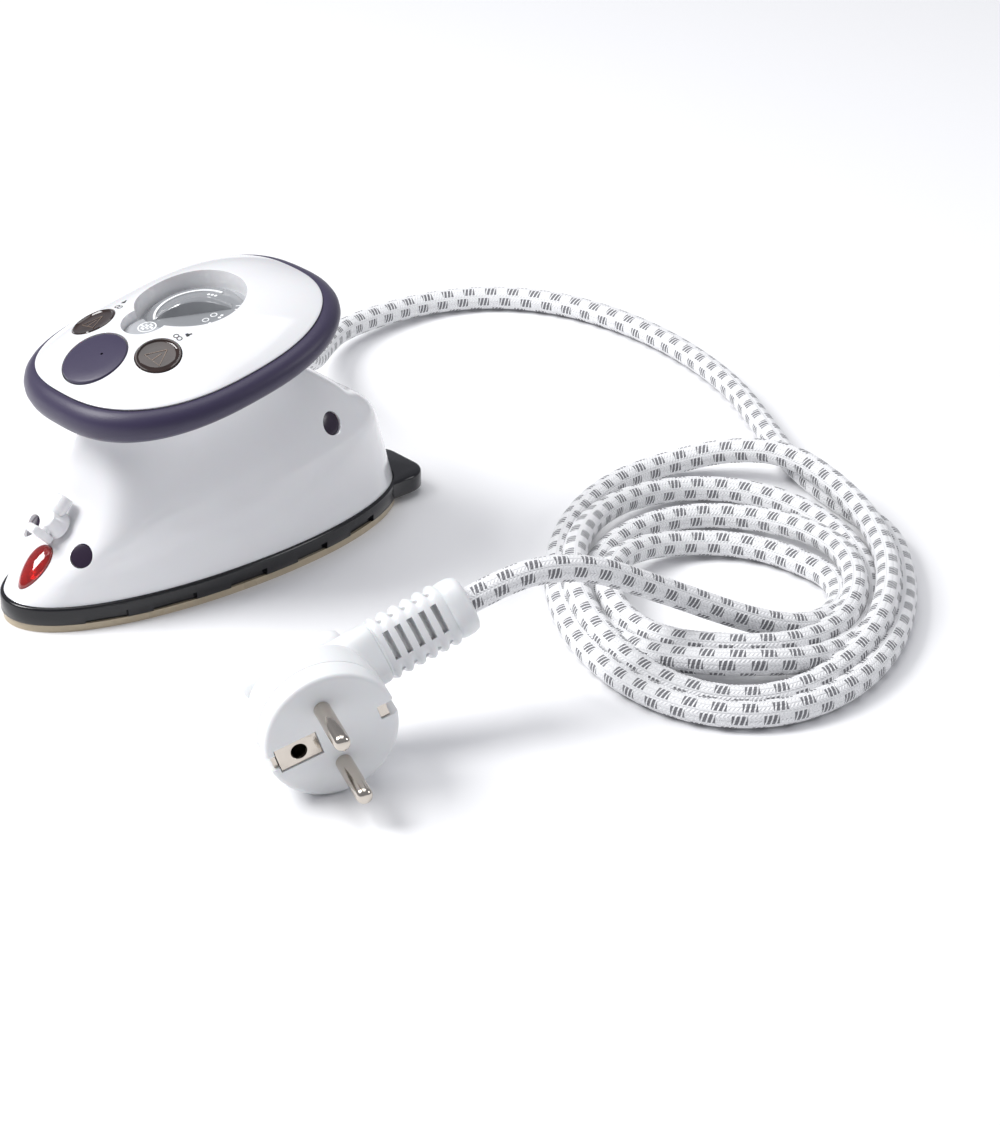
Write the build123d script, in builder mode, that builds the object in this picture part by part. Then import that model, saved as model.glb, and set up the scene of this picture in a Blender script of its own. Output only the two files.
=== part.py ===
"""Small travel steam iron with a braided mains lead, modelled in millimetres.

The iron stands on its soleplate. The origin is the middle of its footprint, on the floor,
+X runs from the nose to the rear tab, +Z is up, and the iron is symmetric about the XZ plane.
The handle, the neck and the crease of the body are parallel to one tilted plane, `handle`.
"""

import math
import os

from build123d import *

os.makedirs("parts", exist_ok=True)

# ---------------------------------------------------------------- driving dimensions
# outlines are (front x, rear x, half width, x of the widest place, front and rear squareness)
SOLE_FRONT = -76.0
SOLE_REAR = 68.0
SOLE_HALF_WIDTH = 28.2
SOLE_WIDEST = -4.0
SOLE_SQUARE = 2.1
TAB_TIP = 76.0
TAB_HALF_WIDTH = 13.0
TAB_CORNER = 8.0

SOLE_EDGE = 2.2
SOLE_INSET = 0.6
SKIRT_TOP = 8.0
SKIRT_WIDTH = 8.5
NOTCHES_PER_SIDE = 5
NOTCH_LENGTH = 13.0
NOTCH_HEIGHT = 2.6
NOTCH_DEPTH = 1.3
BODY_INSET = 1.0
WALL = 2.2

CASTING_INSET = 9.5
CASTING_TOP = 8.4
CHAMBER_FRONT = -40.0
CHAMBER_REAR = 26.0
CHAMBER_HALF_WIDTH = 6.5
CHAMBER_FLOOR = 4.2
STEAM_HOLE_RADIUS = 1.3
STEAM_HOLE_PITCH = 10.0
ELEMENT_RADIUS = 3.2
ELEMENT_LEG_Y = 12.2
ELEMENT_REAR = 40.0
ELEMENT_FRONT = -34.0
ELEMENT_CLEARANCE = 0.15
COVER_THICKNESS = 1.5
COVER_LIP = 1.4

HANDLE_TILT = 10.87
HANDLE_X = -9.5
HANDLE_Z = 74.4
SEAM = 0.8
SEAM_FRONT = 43.6
SEAM_HALF_WIDTH = 35.3
SEAM_SQUARE = 2.54
CROWN_HEIGHT = 10.9
BAND_BULGE_HEIGHT = -3.2
BAND_BOTTOM = -8.2
BAND_FRONT = 48.0
BAND_REAR = 48.3
BAND_HALF_WIDTH = 39.3
CORE_INSET = 3.6
FIT_GAP = 0.15

RECESS_X = 6.3
RECESS_RADIUS = 17.3
RECESS_WALL = 1.6
RECESS_FLOOR = 2.0
DIAL_RADIUS = 14.75
DIAL_BOTTOM = 3.9
DIAL_TOP = 5.2
DIAL_GRIP_LENGTH = 22.0
DIAL_GRIP_WIDTH = 7.5
DIAL_GRIP_TOP = 9.6
DIAL_GRIP_ANGLE = -40.0
LOBE_X = -10.5
LOBE_RADIUS = 7.2
LOBE_TOP = 8.0
SHAFT_RADIUS = 2.4
SHAFT_BOTTOM = -53.0
MOVING_GAP = 0.3

WINDOW_X = -18.5
WINDOW_Y = 16.4
WINDOW_RADIUS = 6.9
WINDOW_THICKNESS = 2.0

FILLER_X = -29.9
FILLER_HEIGHT = 7.0
FILLER_TILT = -14.0
FILLER_CAP_RADIUS = 10.3
FILLER_CAP_TOP = 0.9
FILLER_CAP_BOTTOM = -0.9
FILLER_BORE = 5.5
FILLER_COLLAR = 7.3

TANK_FRONT = -36.5
TANK_REAR = -13.8
TANK_HALF_WIDTH = 23.5
TANK_BOTTOM = -5.6
TANK_TOP = -1.7
TANK_WALL = 1.5
SUMP_FRONT = -30.0
SUMP_REAR = -14.5
SUMP_HALF_WIDTH = 10.5
SUMP_BOTTOM = -21.0
SEAL_THICKNESS = 1.0

CAP_RADIUS = 3.5
CAP_RECESS = 0.45
CAP_THICKNESS = 2.2
BOSS_RADIUS = 4.6
SCREW_RADIUS = 1.4
SCREW_HEAD_RADIUS = 2.6

CORD_DIAMETER = 7.8
CORD_RADIUS = CORD_DIAMETER / 2

# ---------------------------------------------------------------- frames
handle = Plane(
    origin=(HANDLE_X, 0, HANDLE_Z),
    x_dir=(math.cos(math.radians(HANDLE_TILT)), 0, math.sin(math.radians(HANDLE_TILT))),
    z_dir=(-math.sin(math.radians(HANDLE_TILT)), 0, math.cos(math.radians(HANDLE_TILT))),
)
filler = Plane(handle.location * Location((FILLER_X, 0, FILLER_HEIGHT), (0, FILLER_TILT, 0)))
knob_frame = Plane(origin=(-55.6, 0, 25.4), x_dir=(0.72, 0, 0.70), z_dir=(-0.70, 0, 0.72))
lens_frame = Plane(origin=(-65.9, 0, 15.8), x_dir=(0.70, 0, 0.71), z_dir=(-0.71, 0, 0.70))


# ---------------------------------------------------------------- outlines and lofts
def oval_points(front, rear, half_width, widest, front_square, rear_square, count=28):
    """Points of a closed oval whose two ends have their own length and squareness."""
    points = []
    for step in range(count):
        angle = 2 * math.pi * (step + 0.5) / count
        c, s = math.cos(angle), math.sin(angle)
        reach = rear - widest if c > 0 else widest - front
        square = rear_square if c > 0 else front_square
        x = widest + reach * math.copysign(abs(c) ** (2 / square), c)
        y = half_width * math.copysign(abs(s) ** (2 / square), s)
        points.append((x, y))
    return points


def oval_face(plane, outline, inset=0.0):
    """The oval as a face on a plane, drawn in by `inset` all round."""
    front, rear, half_width, widest, front_square, rear_square = outline
    with BuildSketch(plane) as drawn:
        with BuildLine():
            Spline(
                *oval_points(front + inset, rear - inset, half_width - inset, widest,
                             front_square, rear_square),
                periodic=True,
            )
        make_face()
    return drawn.sketch.faces()[0]


def oval_block(plane, outline, bottom, top, inset=0.0):
    """An upright block of an oval between two heights of a plane."""
    with BuildPart() as block:
        extrude(oval_face(plane.offset(bottom), outline, inset), amount=top - bottom)
    return block.part


def rod(plane, radius, bottom, top, x=0.0, y=0.0):
    """A round rod along a plane's normal."""
    with BuildPart() as made:
        with BuildSketch(plane.offset(bottom)):
            with Locations((x, y)):
                Circle(radius)
        extrude(amount=top - bottom)
    return made.part


sole_outline = (SOLE_FRONT, SOLE_REAR, SOLE_HALF_WIDTH, SOLE_WIDEST, SOLE_SQUARE, SOLE_SQUARE)

# body outlines by height above the handle plane, from the crease up to the neck's top
CREASE = (-69.6, 55.2, 24.0, 0.2, 2.7, 3.0)
body_levels = [
    (-49.3, CREASE),
    (-38.5, (-54.2, 47.1, 21.5, -1.8, 5.5, 2.8)),
    (-28.7, (-44.4, 38.3, 18.5, -4.0, 4.5, 2.8)),
    (-19.8, (-38.6, 30.3, 16.5, -2.3, 3.5, 2.8)),
    (-12.0, (-34.4, 24.7, 16.0, -2.8, 2.8, 2.6)),
]
NECK_TOP, neck_outline = body_levels[-1]


def body_solid(inset):
    """The body's outer form, or its hollow when inset by the wall."""
    base = oval_face(Plane.XY.offset(SKIRT_TOP), sole_outline, BODY_INSET + inset)
    levels = [oval_face(handle.offset(height), outline, inset) for height, outline in body_levels]
    with BuildPart() as form:
        loft([base, levels[0]], ruled=True)
        loft(levels)
    return form.part


seam_outline = (-SEAM_FRONT, SEAM_FRONT, SEAM_HALF_WIDTH, 0.0, SEAM_SQUARE, SEAM_SQUARE)


def crown_solid(inset):
    """The crowned top of the handle, drawn in and down by `inset`."""
    sections = []
    for share in (1.0, 0.93, 0.83, 0.7, 0.52, 0.34, 0.2):
        outline = (-SEAM_FRONT * share, SEAM_FRONT * share, SEAM_HALF_WIDTH * share, 0.0,
                   SEAM_SQUARE, SEAM_SQUARE)
        height = SEAM + (CROWN_HEIGHT - inset) * (1 - share**SEAM_SQUARE)
        sections.append(oval_face(handle.offset(height), outline, inset * (0.4 + 0.6 * share)))
    with BuildPart() as form:
        loft(sections)
    return form.part


core_outline = (CORE_INSET - SEAM_FRONT, SEAM_FRONT - CORE_INSET, SEAM_HALF_WIDTH - CORE_INSET,
                0.0, SEAM_SQUARE, SEAM_SQUARE)


def save(part, name):
    """Label a finished piece and write it."""
    part.label = name
    export_step(part, f"parts/{name}.step")


# ---------------------------------------------------------------- soleplate and heating
legs = [(ELEMENT_REAR, ELEMENT_LEG_Y), (ELEMENT_FRONT, ELEMENT_LEG_Y),
        (ELEMENT_FRONT, -ELEMENT_LEG_Y), (ELEMENT_REAR, -ELEMENT_LEG_Y)]
ELEMENT_Z = CASTING_TOP - 0.6
casting_outline = (SOLE_FRONT + CASTING_INSET, SOLE_REAR - CASTING_INSET,
                   SOLE_HALF_WIDTH - CASTING_INSET, SOLE_WIDEST, SOLE_SQUARE, SOLE_SQUARE)


def element_solid(radius, stretch=0.0):
    """The U of the tubular element; its two legs point to the rear."""
    with BuildPart() as tube:
        with BuildLine(Plane.XY.offset(ELEMENT_Z)) as path:
            near = Line((ELEMENT_REAR + stretch, -ELEMENT_LEG_Y), (ELEMENT_FRONT, -ELEMENT_LEG_Y))
            bend = TangentArc(near @ 1, (ELEMENT_FRONT, ELEMENT_LEG_Y), tangent=near % 1)
            Line(bend @ 1, (ELEMENT_REAR + stretch, ELEMENT_LEG_Y))
        with BuildSketch(Plane(origin=path.line @ 0, z_dir=path.line % 0)):
            Circle(radius)
        sweep(path=path.line)
    return tube.part


STEAM_HOLE_ROWS = 6
SKIRT_SCREW_BITE = 1.2
SKIRT_SCREW_X = 32.0
SKIRT_SCREW_Y = 19.4
skirt_screw_spots = [(SOLE_WIDEST + sx * SKIRT_SCREW_X, sy * SKIRT_SCREW_Y)
                     for sx in (-1, 1) for sy in (-1, 1)]
chamber_middle = (CHAMBER_FRONT + CHAMBER_REAR) / 2
with BuildPart() as soleplate:
    add(oval_block(Plane.XY, sole_outline, 0, SOLE_EDGE, SOLE_INSET))
    add(oval_block(Plane.XY, casting_outline, SOLE_EDGE, CASTING_TOP))
    with BuildSketch(Plane.XY.offset(CHAMBER_FLOOR)):
        with Locations((chamber_middle, 0)):
            SlotOverall(CHAMBER_REAR - CHAMBER_FRONT, 2 * CHAMBER_HALF_WIDTH)
    extrude(amount=CASTING_TOP - CHAMBER_FLOOR, mode=Mode.SUBTRACT)
    add(element_solid(ELEMENT_RADIUS + ELEMENT_CLEARANCE, 30), mode=Mode.SUBTRACT)
    with BuildSketch(Plane.XY):
        with Locations((chamber_middle, 0)):
            with GridLocations(STEAM_HOLE_PITCH, 7.0, STEAM_HOLE_ROWS, 2):
                Circle(STEAM_HOLE_RADIUS)
    extrude(amount=CHAMBER_FLOOR, mode=Mode.SUBTRACT)
    with BuildSketch(Plane.XY.offset(SOLE_EDGE - SKIRT_SCREW_BITE)):
        with Locations(*skirt_screw_spots):
            Circle(SCREW_RADIUS)
    extrude(amount=SKIRT_SCREW_BITE, mode=Mode.SUBTRACT)
save(soleplate.part, "soleplate")

save(element_solid(ELEMENT_RADIUS), "heating_element")

with BuildPart() as steam_chamber_cover:
    with BuildSketch(Plane.XY.offset(CASTING_TOP)):
        with Locations((chamber_middle, 0)):
            SlotOverall(CHAMBER_REAR - CHAMBER_FRONT + 2 * COVER_LIP,
                        2 * (CHAMBER_HALF_WIDTH + COVER_LIP))
    extrude(amount=COVER_THICKNESS)
    with BuildSketch(Plane.XY.offset(CASTING_TOP)):
        with Locations((CHAMBER_FRONT + 3.5, 0)):
            Circle(2.2)
    extrude(amount=COVER_THICKNESS, mode=Mode.SUBTRACT)
save(steam_chamber_cover.part, "steam_chamber_cover")


# ---------------------------------------------------------------- skirt
def notch_frames():
    """Frames on the skirt's edge, evenly spaced along each side, x along the edge."""
    frames = []
    for side in (-1, 1):
        for number in range(NOTCHES_PER_SIDE):
            angle = math.radians(54 + 81 * number / (NOTCHES_PER_SIDE - 1)) * side
            c, s = math.cos(angle), math.sin(angle)
            reach = SOLE_REAR - SOLE_WIDEST
            power = 2 / SOLE_SQUARE
            x = SOLE_WIDEST + reach * math.copysign(abs(c) ** power, c)
            y = SOLE_HALF_WIDTH * math.copysign(abs(s) ** power, s)
            outward = math.atan2(math.copysign(abs(s) ** (2 - power), s) / SOLE_HALF_WIDTH,
                                 math.copysign(abs(c) ** (2 - power), c) / reach)
            frames.append(Location((x, y, SOLE_EDGE), (0, 0, math.degrees(outward))))
    return frames


with BuildPart() as heat_shield_skirt:
    add(oval_block(Plane.XY, sole_outline, SOLE_EDGE, SKIRT_TOP))
    with BuildSketch(Plane.XY.offset(SOLE_EDGE)):
        with Locations((TAB_TIP - 15, 0)):
            RectangleRounded(30, 2 * TAB_HALF_WIDTH, TAB_CORNER)
    extrude(amount=SKIRT_TOP - SOLE_EDGE)
    add(oval_block(Plane.XY, sole_outline, SOLE_EDGE, SKIRT_TOP, SKIRT_WIDTH), mode=Mode.SUBTRACT)
    for frame in notch_frames():
        with Locations(frame):
            Box(2 * NOTCH_DEPTH, NOTCH_LENGTH, 2 * NOTCH_HEIGHT, mode=Mode.SUBTRACT)
    with BuildSketch(Plane.XY.offset(SOLE_EDGE)):
        with Locations(*skirt_screw_spots):
            Circle(SCREW_RADIUS + FIT_GAP)
    extrude(amount=SKIRT_TOP - SOLE_EDGE, mode=Mode.SUBTRACT)
save(heat_shield_skirt.part, "heat_shield_skirt")

with BuildPart() as skirt_screws:
    with BuildSketch(Plane.XY.offset(SOLE_EDGE - SKIRT_SCREW_BITE)):
        with Locations(*skirt_screw_spots):
            Circle(SCREW_RADIUS)
    extrude(amount=SKIRT_TOP - SOLE_EDGE + SKIRT_SCREW_BITE)
    with BuildSketch(Plane.XY.offset(SKIRT_TOP)):
        with Locations(*skirt_screw_spots):
            Circle(SCREW_HEAD_RADIUS - 0.3)
    extrude(amount=1.6)
save(skirt_screws.part, "skirt_screws")

# ---------------------------------------------------------------- body shell
# screw cap frames: place on the body's face and outward direction, for +Y; mirrored for -Y
cap_spots = [((-57.9, 13.1, 22.0), (-0.72, 0.45, 0.53)), ((31.8, 19.1, 39.8), (0.19, 0.89, 0.41))]


def cap_frames():
    """One frame for each screw cap, z pointing out of the body."""
    frames = []
    for spot, out in cap_spots:
        for side in (-1, 1):
            frames.append(Plane(origin=(spot[0], side * spot[1], spot[2]),
                                z_dir=(out[0], side * out[1], out[2])))
    return frames


SCREW_SEAT = CAP_RECESS + CAP_THICKNESS + 0.6
SCREW_HEAD_HEIGHT = 1.9
BOSS_DEPTH = 8.2
SCREW_DEPTH = 9.6


def lens_outline(plane, grow=0.0):
    """Teardrop of the indicator lens, its narrow end towards the nose."""
    with BuildSketch(plane) as drop:
        with BuildLine():
            Spline(
                (-7.2 - grow, 0), (-3.6, -2.6 - grow), (2.6, -3.9 - grow), (6.6 + grow, 0),
                (2.6, 3.9 + grow), (-3.6, 2.6 + grow), periodic=True,
            )
        make_face()
    return drop.sketch.faces()[0]


KNOB_SHAFT_RADIUS = 1.6
RELIEF_START = (12.0, 2.5, 57.5)
RELIEF_DIRECTION = (0.80, 0.52, -0.30)
RELIEF_LENGTH = 30.0
RELIEF_RADIUS = 5.6
relief_frame = Plane(origin=RELIEF_START, z_dir=RELIEF_DIRECTION)

with BuildPart() as body_shell:
    add(body_solid(0))
    add(body_solid(WALL), mode=Mode.SUBTRACT)
    for frame in cap_frames():
        add(rod(frame, BOSS_RADIUS, -BOSS_DEPTH, -1.8))
    for frame in cap_frames():
        add(rod(frame, CAP_RADIUS + FIT_GAP, -SCREW_SEAT - SCREW_HEAD_HEIGHT, 6), mode=Mode.SUBTRACT)
        add(rod(frame, SCREW_RADIUS + 0.1, -BOSS_DEPTH - 1, 0), mode=Mode.SUBTRACT)
    extrude(lens_outline(lens_frame.offset(-6), FIT_GAP), amount=14, mode=Mode.SUBTRACT)
    add(rod(knob_frame, KNOB_SHAFT_RADIUS + MOVING_GAP, -6, 4), mode=Mode.SUBTRACT)
    add(rod(relief_frame, RELIEF_RADIUS + FIT_GAP, 0, 40), mode=Mode.SUBTRACT)
save(body_shell.part, "body_shell")

with BuildPart() as screw_caps:
    for frame in cap_frames():
        add(rod(frame, CAP_RADIUS, -CAP_RECESS - CAP_THICKNESS, -CAP_RECESS))
save(screw_caps.part, "screw_caps")

with BuildPart() as body_screws:
    for frame in cap_frames():
        add(rod(frame, SCREW_HEAD_RADIUS, -SCREW_SEAT - SCREW_HEAD_HEIGHT, -SCREW_SEAT))
        add(rod(frame, SCREW_RADIUS, -SCREW_DEPTH, -SCREW_SEAT - SCREW_HEAD_HEIGHT))
save(body_screws.part, "body_screws")

# ---------------------------------------------------------------- indicator
LENS_DEPTH = 3.4
with BuildPart() as indicator_lens:
    extrude(lens_outline(lens_frame.offset(-LENS_DEPTH)), amount=LENS_DEPTH + 0.4)
    loft([lens_outline(lens_frame.offset(0.4)), lens_outline(lens_frame.offset(1.3), -1.0)])
save(indicator_lens.part, "indicator_lens")

LAMP_RADIUS = 1.7
with BuildPart() as indicator_lamp:
    with BuildSketch(Plane(origin=lens_frame.origin - lens_frame.z_dir * (LENS_DEPTH + 2.0),
                           z_dir=lens_frame.x_dir)):
        Circle(LAMP_RADIUS)
    extrude(amount=8)
save(indicator_lamp.part, "indicator_lamp")

# ---------------------------------------------------------------- steam selector and valve
KNOB_CLEARANCE = 1.6
KNOB_HUB_HEIGHT = 5.2
KNOB_SHAFT_END = -5.0
with BuildPart() as steam_knob:
    with BuildSketch(knob_frame.offset(KNOB_CLEARANCE)):
        Circle(4.3)
    with BuildSketch(knob_frame.offset(KNOB_CLEARANCE + KNOB_HUB_HEIGHT)):
        Circle(3.0)
    loft()
    with BuildSketch(knob_frame.offset(KNOB_CLEARANCE + 2.2)):
        with Locations((-5.0, 0)):
            RectangleRounded(4.4, 2.6, 1.1)
    extrude(amount=7.0)
    with BuildSketch(Plane(origin=knob_frame.origin + knob_frame.z_dir * 5.0,
                           z_dir=knob_frame.x_dir)):
        Circle(1.5)
    extrude(amount=6.0)
    with BuildSketch(Plane(origin=knob_frame.origin + knob_frame.z_dir * 5.0,
                           z_dir=knob_frame.x_dir)):
        Circle(1.5)
    extrude(amount=-4.0)
    add(Location(knob_frame.origin + knob_frame.z_dir * 5.8 + knob_frame.x_dir * 6.2)
        * Sphere(2.6, mode=Mode.PRIVATE))
    add(rod(knob_frame, KNOB_SHAFT_RADIUS, KNOB_SHAFT_END, KNOB_CLEARANCE))
save(steam_knob.part, "steam_knob")

VALVE_TOP = -5.3
VALVE_BOTTOM = -14.0
VALVE_RADIUS = 3.4
NEEDLE_RADIUS = 1.1
with BuildPart() as valve_needle:
    add(rod(knob_frame, NEEDLE_RADIUS, VALVE_BOTTOM + 1.2, KNOB_SHAFT_END))
save(valve_needle.part, "valve_needle")

with BuildPart() as valve_body:
    add(rod(knob_frame, VALVE_RADIUS, VALVE_BOTTOM, VALVE_TOP - MOVING_GAP))
    add(rod(knob_frame, NEEDLE_RADIUS + 0.08, VALVE_BOTTOM + 1, 0), mode=Mode.SUBTRACT)
    add(rod(knob_frame, 1.6, VALVE_BOTTOM - 4.4, VALVE_BOTTOM))
    add(rod(knob_frame, 0.6, VALVE_BOTTOM - 5, VALVE_BOTTOM + 1), mode=Mode.SUBTRACT)
save(valve_body.part, "valve_body")

# ---------------------------------------------------------------- handle shells and band
band_outline = (-BAND_FRONT, BAND_REAR, BAND_HALF_WIDTH, 0.0, SEAM_SQUARE, SEAM_SQUARE)
band_bottom_outline = (-BAND_FRONT + 5.5, BAND_REAR - 6.0, BAND_HALF_WIDTH - 5.6, 0.0,
                       SEAM_SQUARE, SEAM_SQUARE)
with BuildPart() as grip_band:
    loft([
        oval_face(handle.offset(SEAM), seam_outline),
        oval_face(handle.offset(BAND_BULGE_HEIGHT + 1.8), band_outline, 0.9),
        oval_face(handle.offset(BAND_BULGE_HEIGHT), band_outline),
        oval_face(handle.offset(BAND_BULGE_HEIGHT - 2.4), band_outline, 1.2),
        oval_face(handle.offset(BAND_BOTTOM), band_bottom_outline),
    ])
    add(oval_block(handle, core_outline, BAND_BOTTOM - 1, SEAM + 1, -FIT_GAP), mode=Mode.SUBTRACT)
save(grip_band.part, "grip_band")

HANDLE_SCREW_SPOTS = [(-2.0, 25.0), (-2.0, -25.0), (27.0, 14.5), (27.0, -14.5)]
BOWL_RIM = 1.5
bowl_outline = (core_outline[0] - BOWL_RIM, core_outline[1] + BOWL_RIM,
                core_outline[2] + BOWL_RIM, 0.0, SEAM_SQUARE, SEAM_SQUARE)
HANDLE_SCREW_SEAT = -7.4
with BuildPart() as handle_lower_shell:
    loft([oval_face(handle.offset(NECK_TOP), neck_outline, -1.4),
          oval_face(handle.offset(BAND_BOTTOM), bowl_outline)], ruled=True)
    loft([oval_face(handle.offset(NECK_TOP + WALL), neck_outline, -0.6),
          oval_face(handle.offset(BAND_BOTTOM + WALL), bowl_outline, BOWL_RIM + WALL)],
         ruled=True, mode=Mode.SUBTRACT)
    add(oval_block(handle, core_outline, BAND_BOTTOM, SEAM))
    add(oval_block(handle, core_outline, BAND_BOTTOM + WALL, SEAM, WALL), mode=Mode.SUBTRACT)
    loft([oval_face(handle.offset(NECK_TOP + WALL), neck_outline, -0.6),
          oval_face(handle.offset(BAND_BOTTOM + WALL), bowl_outline, BOWL_RIM + WALL)],
         ruled=True, mode=Mode.SUBTRACT)
    add(oval_block(handle, neck_outline, NECK_TOP, BAND_BOTTOM + WALL, WALL), mode=Mode.SUBTRACT)
    for spot in HANDLE_SCREW_SPOTS:
        add(rod(handle, 3.8, BAND_BOTTOM, -1.0, *spot))
        add(rod(handle, SCREW_HEAD_RADIUS + 0.2, NECK_TOP - 4, HANDLE_SCREW_SEAT, *spot),
            mode=Mode.SUBTRACT)
        add(rod(handle, SCREW_RADIUS + 0.1, NECK_TOP, 0, *spot), mode=Mode.SUBTRACT)
save(handle_lower_shell.part, "handle_lower_shell")

with BuildPart() as handle_screws:
    for spot in HANDLE_SCREW_SPOTS:
        add(rod(handle, SCREW_HEAD_RADIUS, HANDLE_SCREW_SEAT - 1.9, HANDLE_SCREW_SEAT, *spot))
        add(rod(handle, SCREW_RADIUS, HANDLE_SCREW_SEAT, 3.0, *spot))
save(handle_screws.part, "handle_screws")

with BuildPart() as handle_top_shell:
    add(crown_solid(0))
    add(crown_solid(WALL), mode=Mode.SUBTRACT)
    add(rod(handle, RECESS_RADIUS + RECESS_WALL, RECESS_FLOOR, CROWN_HEIGHT - WALL, RECESS_X, 0))
    add(rod(handle, LOBE_RADIUS + RECESS_WALL, RECESS_FLOOR, CROWN_HEIGHT - WALL - 0.6, LOBE_X, 0))
    for spot in HANDLE_SCREW_SPOTS:
        add(rod(handle, 3.2, -0.9, 5.2, *spot))
        add(rod(handle, SCREW_RADIUS + 0.1, -2, 3.4, *spot), mode=Mode.SUBTRACT)
    add(rod(handle, RECESS_RADIUS, 0, 20, RECESS_X, 0), mode=Mode.SUBTRACT)
    add(rod(handle, LOBE_RADIUS, 0, 20, LOBE_X, 0), mode=Mode.SUBTRACT)
    for side in (-1, 1):
        add(rod(handle, WINDOW_RADIUS + FIT_GAP, 1, 20, WINDOW_X, side * WINDOW_Y),
            mode=Mode.SUBTRACT)
    add(rod(filler, FILLER_CAP_RADIUS + MOVING_GAP, -4, 12), mode=Mode.SUBTRACT)
save(handle_top_shell.part, "handle_top_shell")

for side, name in ((1, "water_window_left"), (-1, "water_window_right")):
    with BuildPart() as water_window:
        add(crown_solid(0.35))
        add(rod(handle, WINDOW_RADIUS, 0, 20, WINDOW_X, side * WINDOW_Y), mode=Mode.INTERSECT)
        add(crown_solid(0.35 + WINDOW_THICKNESS), mode=Mode.SUBTRACT)
    save(water_window.part, name)

# ---------------------------------------------------------------- dial
plate_gap = 0.1
with BuildPart() as dial_recess_plate:
    add(rod(handle, RECESS_RADIUS - plate_gap, RECESS_FLOOR, DIAL_BOTTOM - MOVING_GAP, RECESS_X, 0))
    add(rod(handle, LOBE_RADIUS - plate_gap, RECESS_FLOOR, LOBE_TOP, LOBE_X, 0))
    add(rod(handle, DIAL_RADIUS + MOVING_GAP, DIAL_BOTTOM - MOVING_GAP, 20, RECESS_X, 0),
        mode=Mode.SUBTRACT)
    add(rod(handle, SHAFT_RADIUS + 0.1, 0, 6, RECESS_X, 0), mode=Mode.SUBTRACT)
save(dial_recess_plate.part, "dial_recess_plate")

grip_frame = Plane(handle.location * Location((RECESS_X, 0, DIAL_TOP), (0, 0, DIAL_GRIP_ANGLE)))
with BuildPart() as temperature_dial:
    with BuildSketch(handle.offset(DIAL_BOTTOM)):
        with Locations((RECESS_X, 0)):
            Circle(DIAL_RADIUS)
    extrude(amount=DIAL_TOP - DIAL_BOTTOM)
    chord = DIAL_GRIP_LENGTH / 2
    with BuildSketch(grip_frame):
        with BuildLine():
            ThreePointArc((-chord, 0), (0, DIAL_GRIP_WIDTH / 2), (chord, 0))
            ThreePointArc((chord, 0), (0, -DIAL_GRIP_WIDTH / 2), (-chord, 0))
        make_face()
    extrude(amount=DIAL_GRIP_TOP - DIAL_TOP)
save(temperature_dial.part, "temperature_dial")

with BuildPart() as dial_shaft:
    add(rod(handle, SHAFT_RADIUS, SHAFT_BOTTOM, DIAL_BOTTOM, RECESS_X, 0))
save(dial_shaft.part, "dial_shaft")

# ---------------------------------------------------------------- thermostat and fuse
THERMOSTAT_RADIUS = 7.6
THERMOSTAT_X = 7.6
THERMOSTAT_CUT = SHAFT_BOTTOM + 3.0
with BuildPart() as thermostat:
    with BuildSketch(Plane.XY.offset(CASTING_TOP + COVER_THICKNESS)):
        with Locations((THERMOSTAT_X, 0)):
            Circle(THERMOSTAT_RADIUS)
    extrude(amount=18)
    split(bisect_by=handle.offset(THERMOSTAT_CUT), keep=Keep.BOTTOM)
    add(rod(handle, SHAFT_RADIUS + 0.1, SHAFT_BOTTOM - 0.4, 0, RECESS_X, 0), mode=Mode.SUBTRACT)
save(thermostat.part, "thermostat")

FUSE_RADIUS = 2.1
with BuildPart() as thermal_fuse:
    with BuildSketch(Plane.YZ.offset(CHAMBER_REAR + 4)):
        with Locations((0, CASTING_TOP + FUSE_RADIUS)):
            Circle(FUSE_RADIUS)
    extrude(amount=14)
save(thermal_fuse.part, "thermal_fuse")

# ---------------------------------------------------------------- water tank
tank_outline = (TANK_FRONT, TANK_REAR, TANK_HALF_WIDTH, (TANK_FRONT + TANK_REAR) / 2 + 3, 2.4, 4.0)
sump_outline = (SUMP_FRONT, SUMP_REAR, SUMP_HALF_WIDTH, (SUMP_FRONT + SUMP_REAR) / 2, 3.0, 3.0)
with BuildPart() as water_tank:
    add(oval_block(handle, tank_outline, TANK_BOTTOM, TANK_TOP))
    add(oval_block(handle, sump_outline, SUMP_BOTTOM, TANK_BOTTOM + 0.5))
    add(oval_block(handle, tank_outline, TANK_BOTTOM + TANK_WALL, TANK_TOP, TANK_WALL),
        mode=Mode.SUBTRACT)
    add(oval_block(handle, sump_outline, SUMP_BOTTOM + TANK_WALL, TANK_BOTTOM + 3, TANK_WALL),
        mode=Mode.SUBTRACT)
save(water_tank.part, "water_tank")

with BuildPart() as tank_seal:
    add(oval_block(handle, tank_outline, TANK_TOP, TANK_TOP + SEAL_THICKNESS))
    add(oval_block(handle, tank_outline, TANK_TOP, TANK_TOP + SEAL_THICKNESS, TANK_WALL),
        mode=Mode.SUBTRACT)
save(tank_seal.part, "tank_seal")

with BuildPart() as tank_cover:
    cover_bottom = TANK_TOP + SEAL_THICKNESS
    add(rod(filler, FILLER_COLLAR, -9.0, FILLER_CAP_BOTTOM - 0.1))
    split(bisect_by=handle.offset(cover_bottom), keep=Keep.TOP)
    add(oval_block(handle, tank_outline, cover_bottom, cover_bottom + TANK_WALL))
    add(rod(filler, FILLER_BORE, -12, 4), mode=Mode.SUBTRACT)
save(tank_cover.part, "tank_cover")

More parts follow.
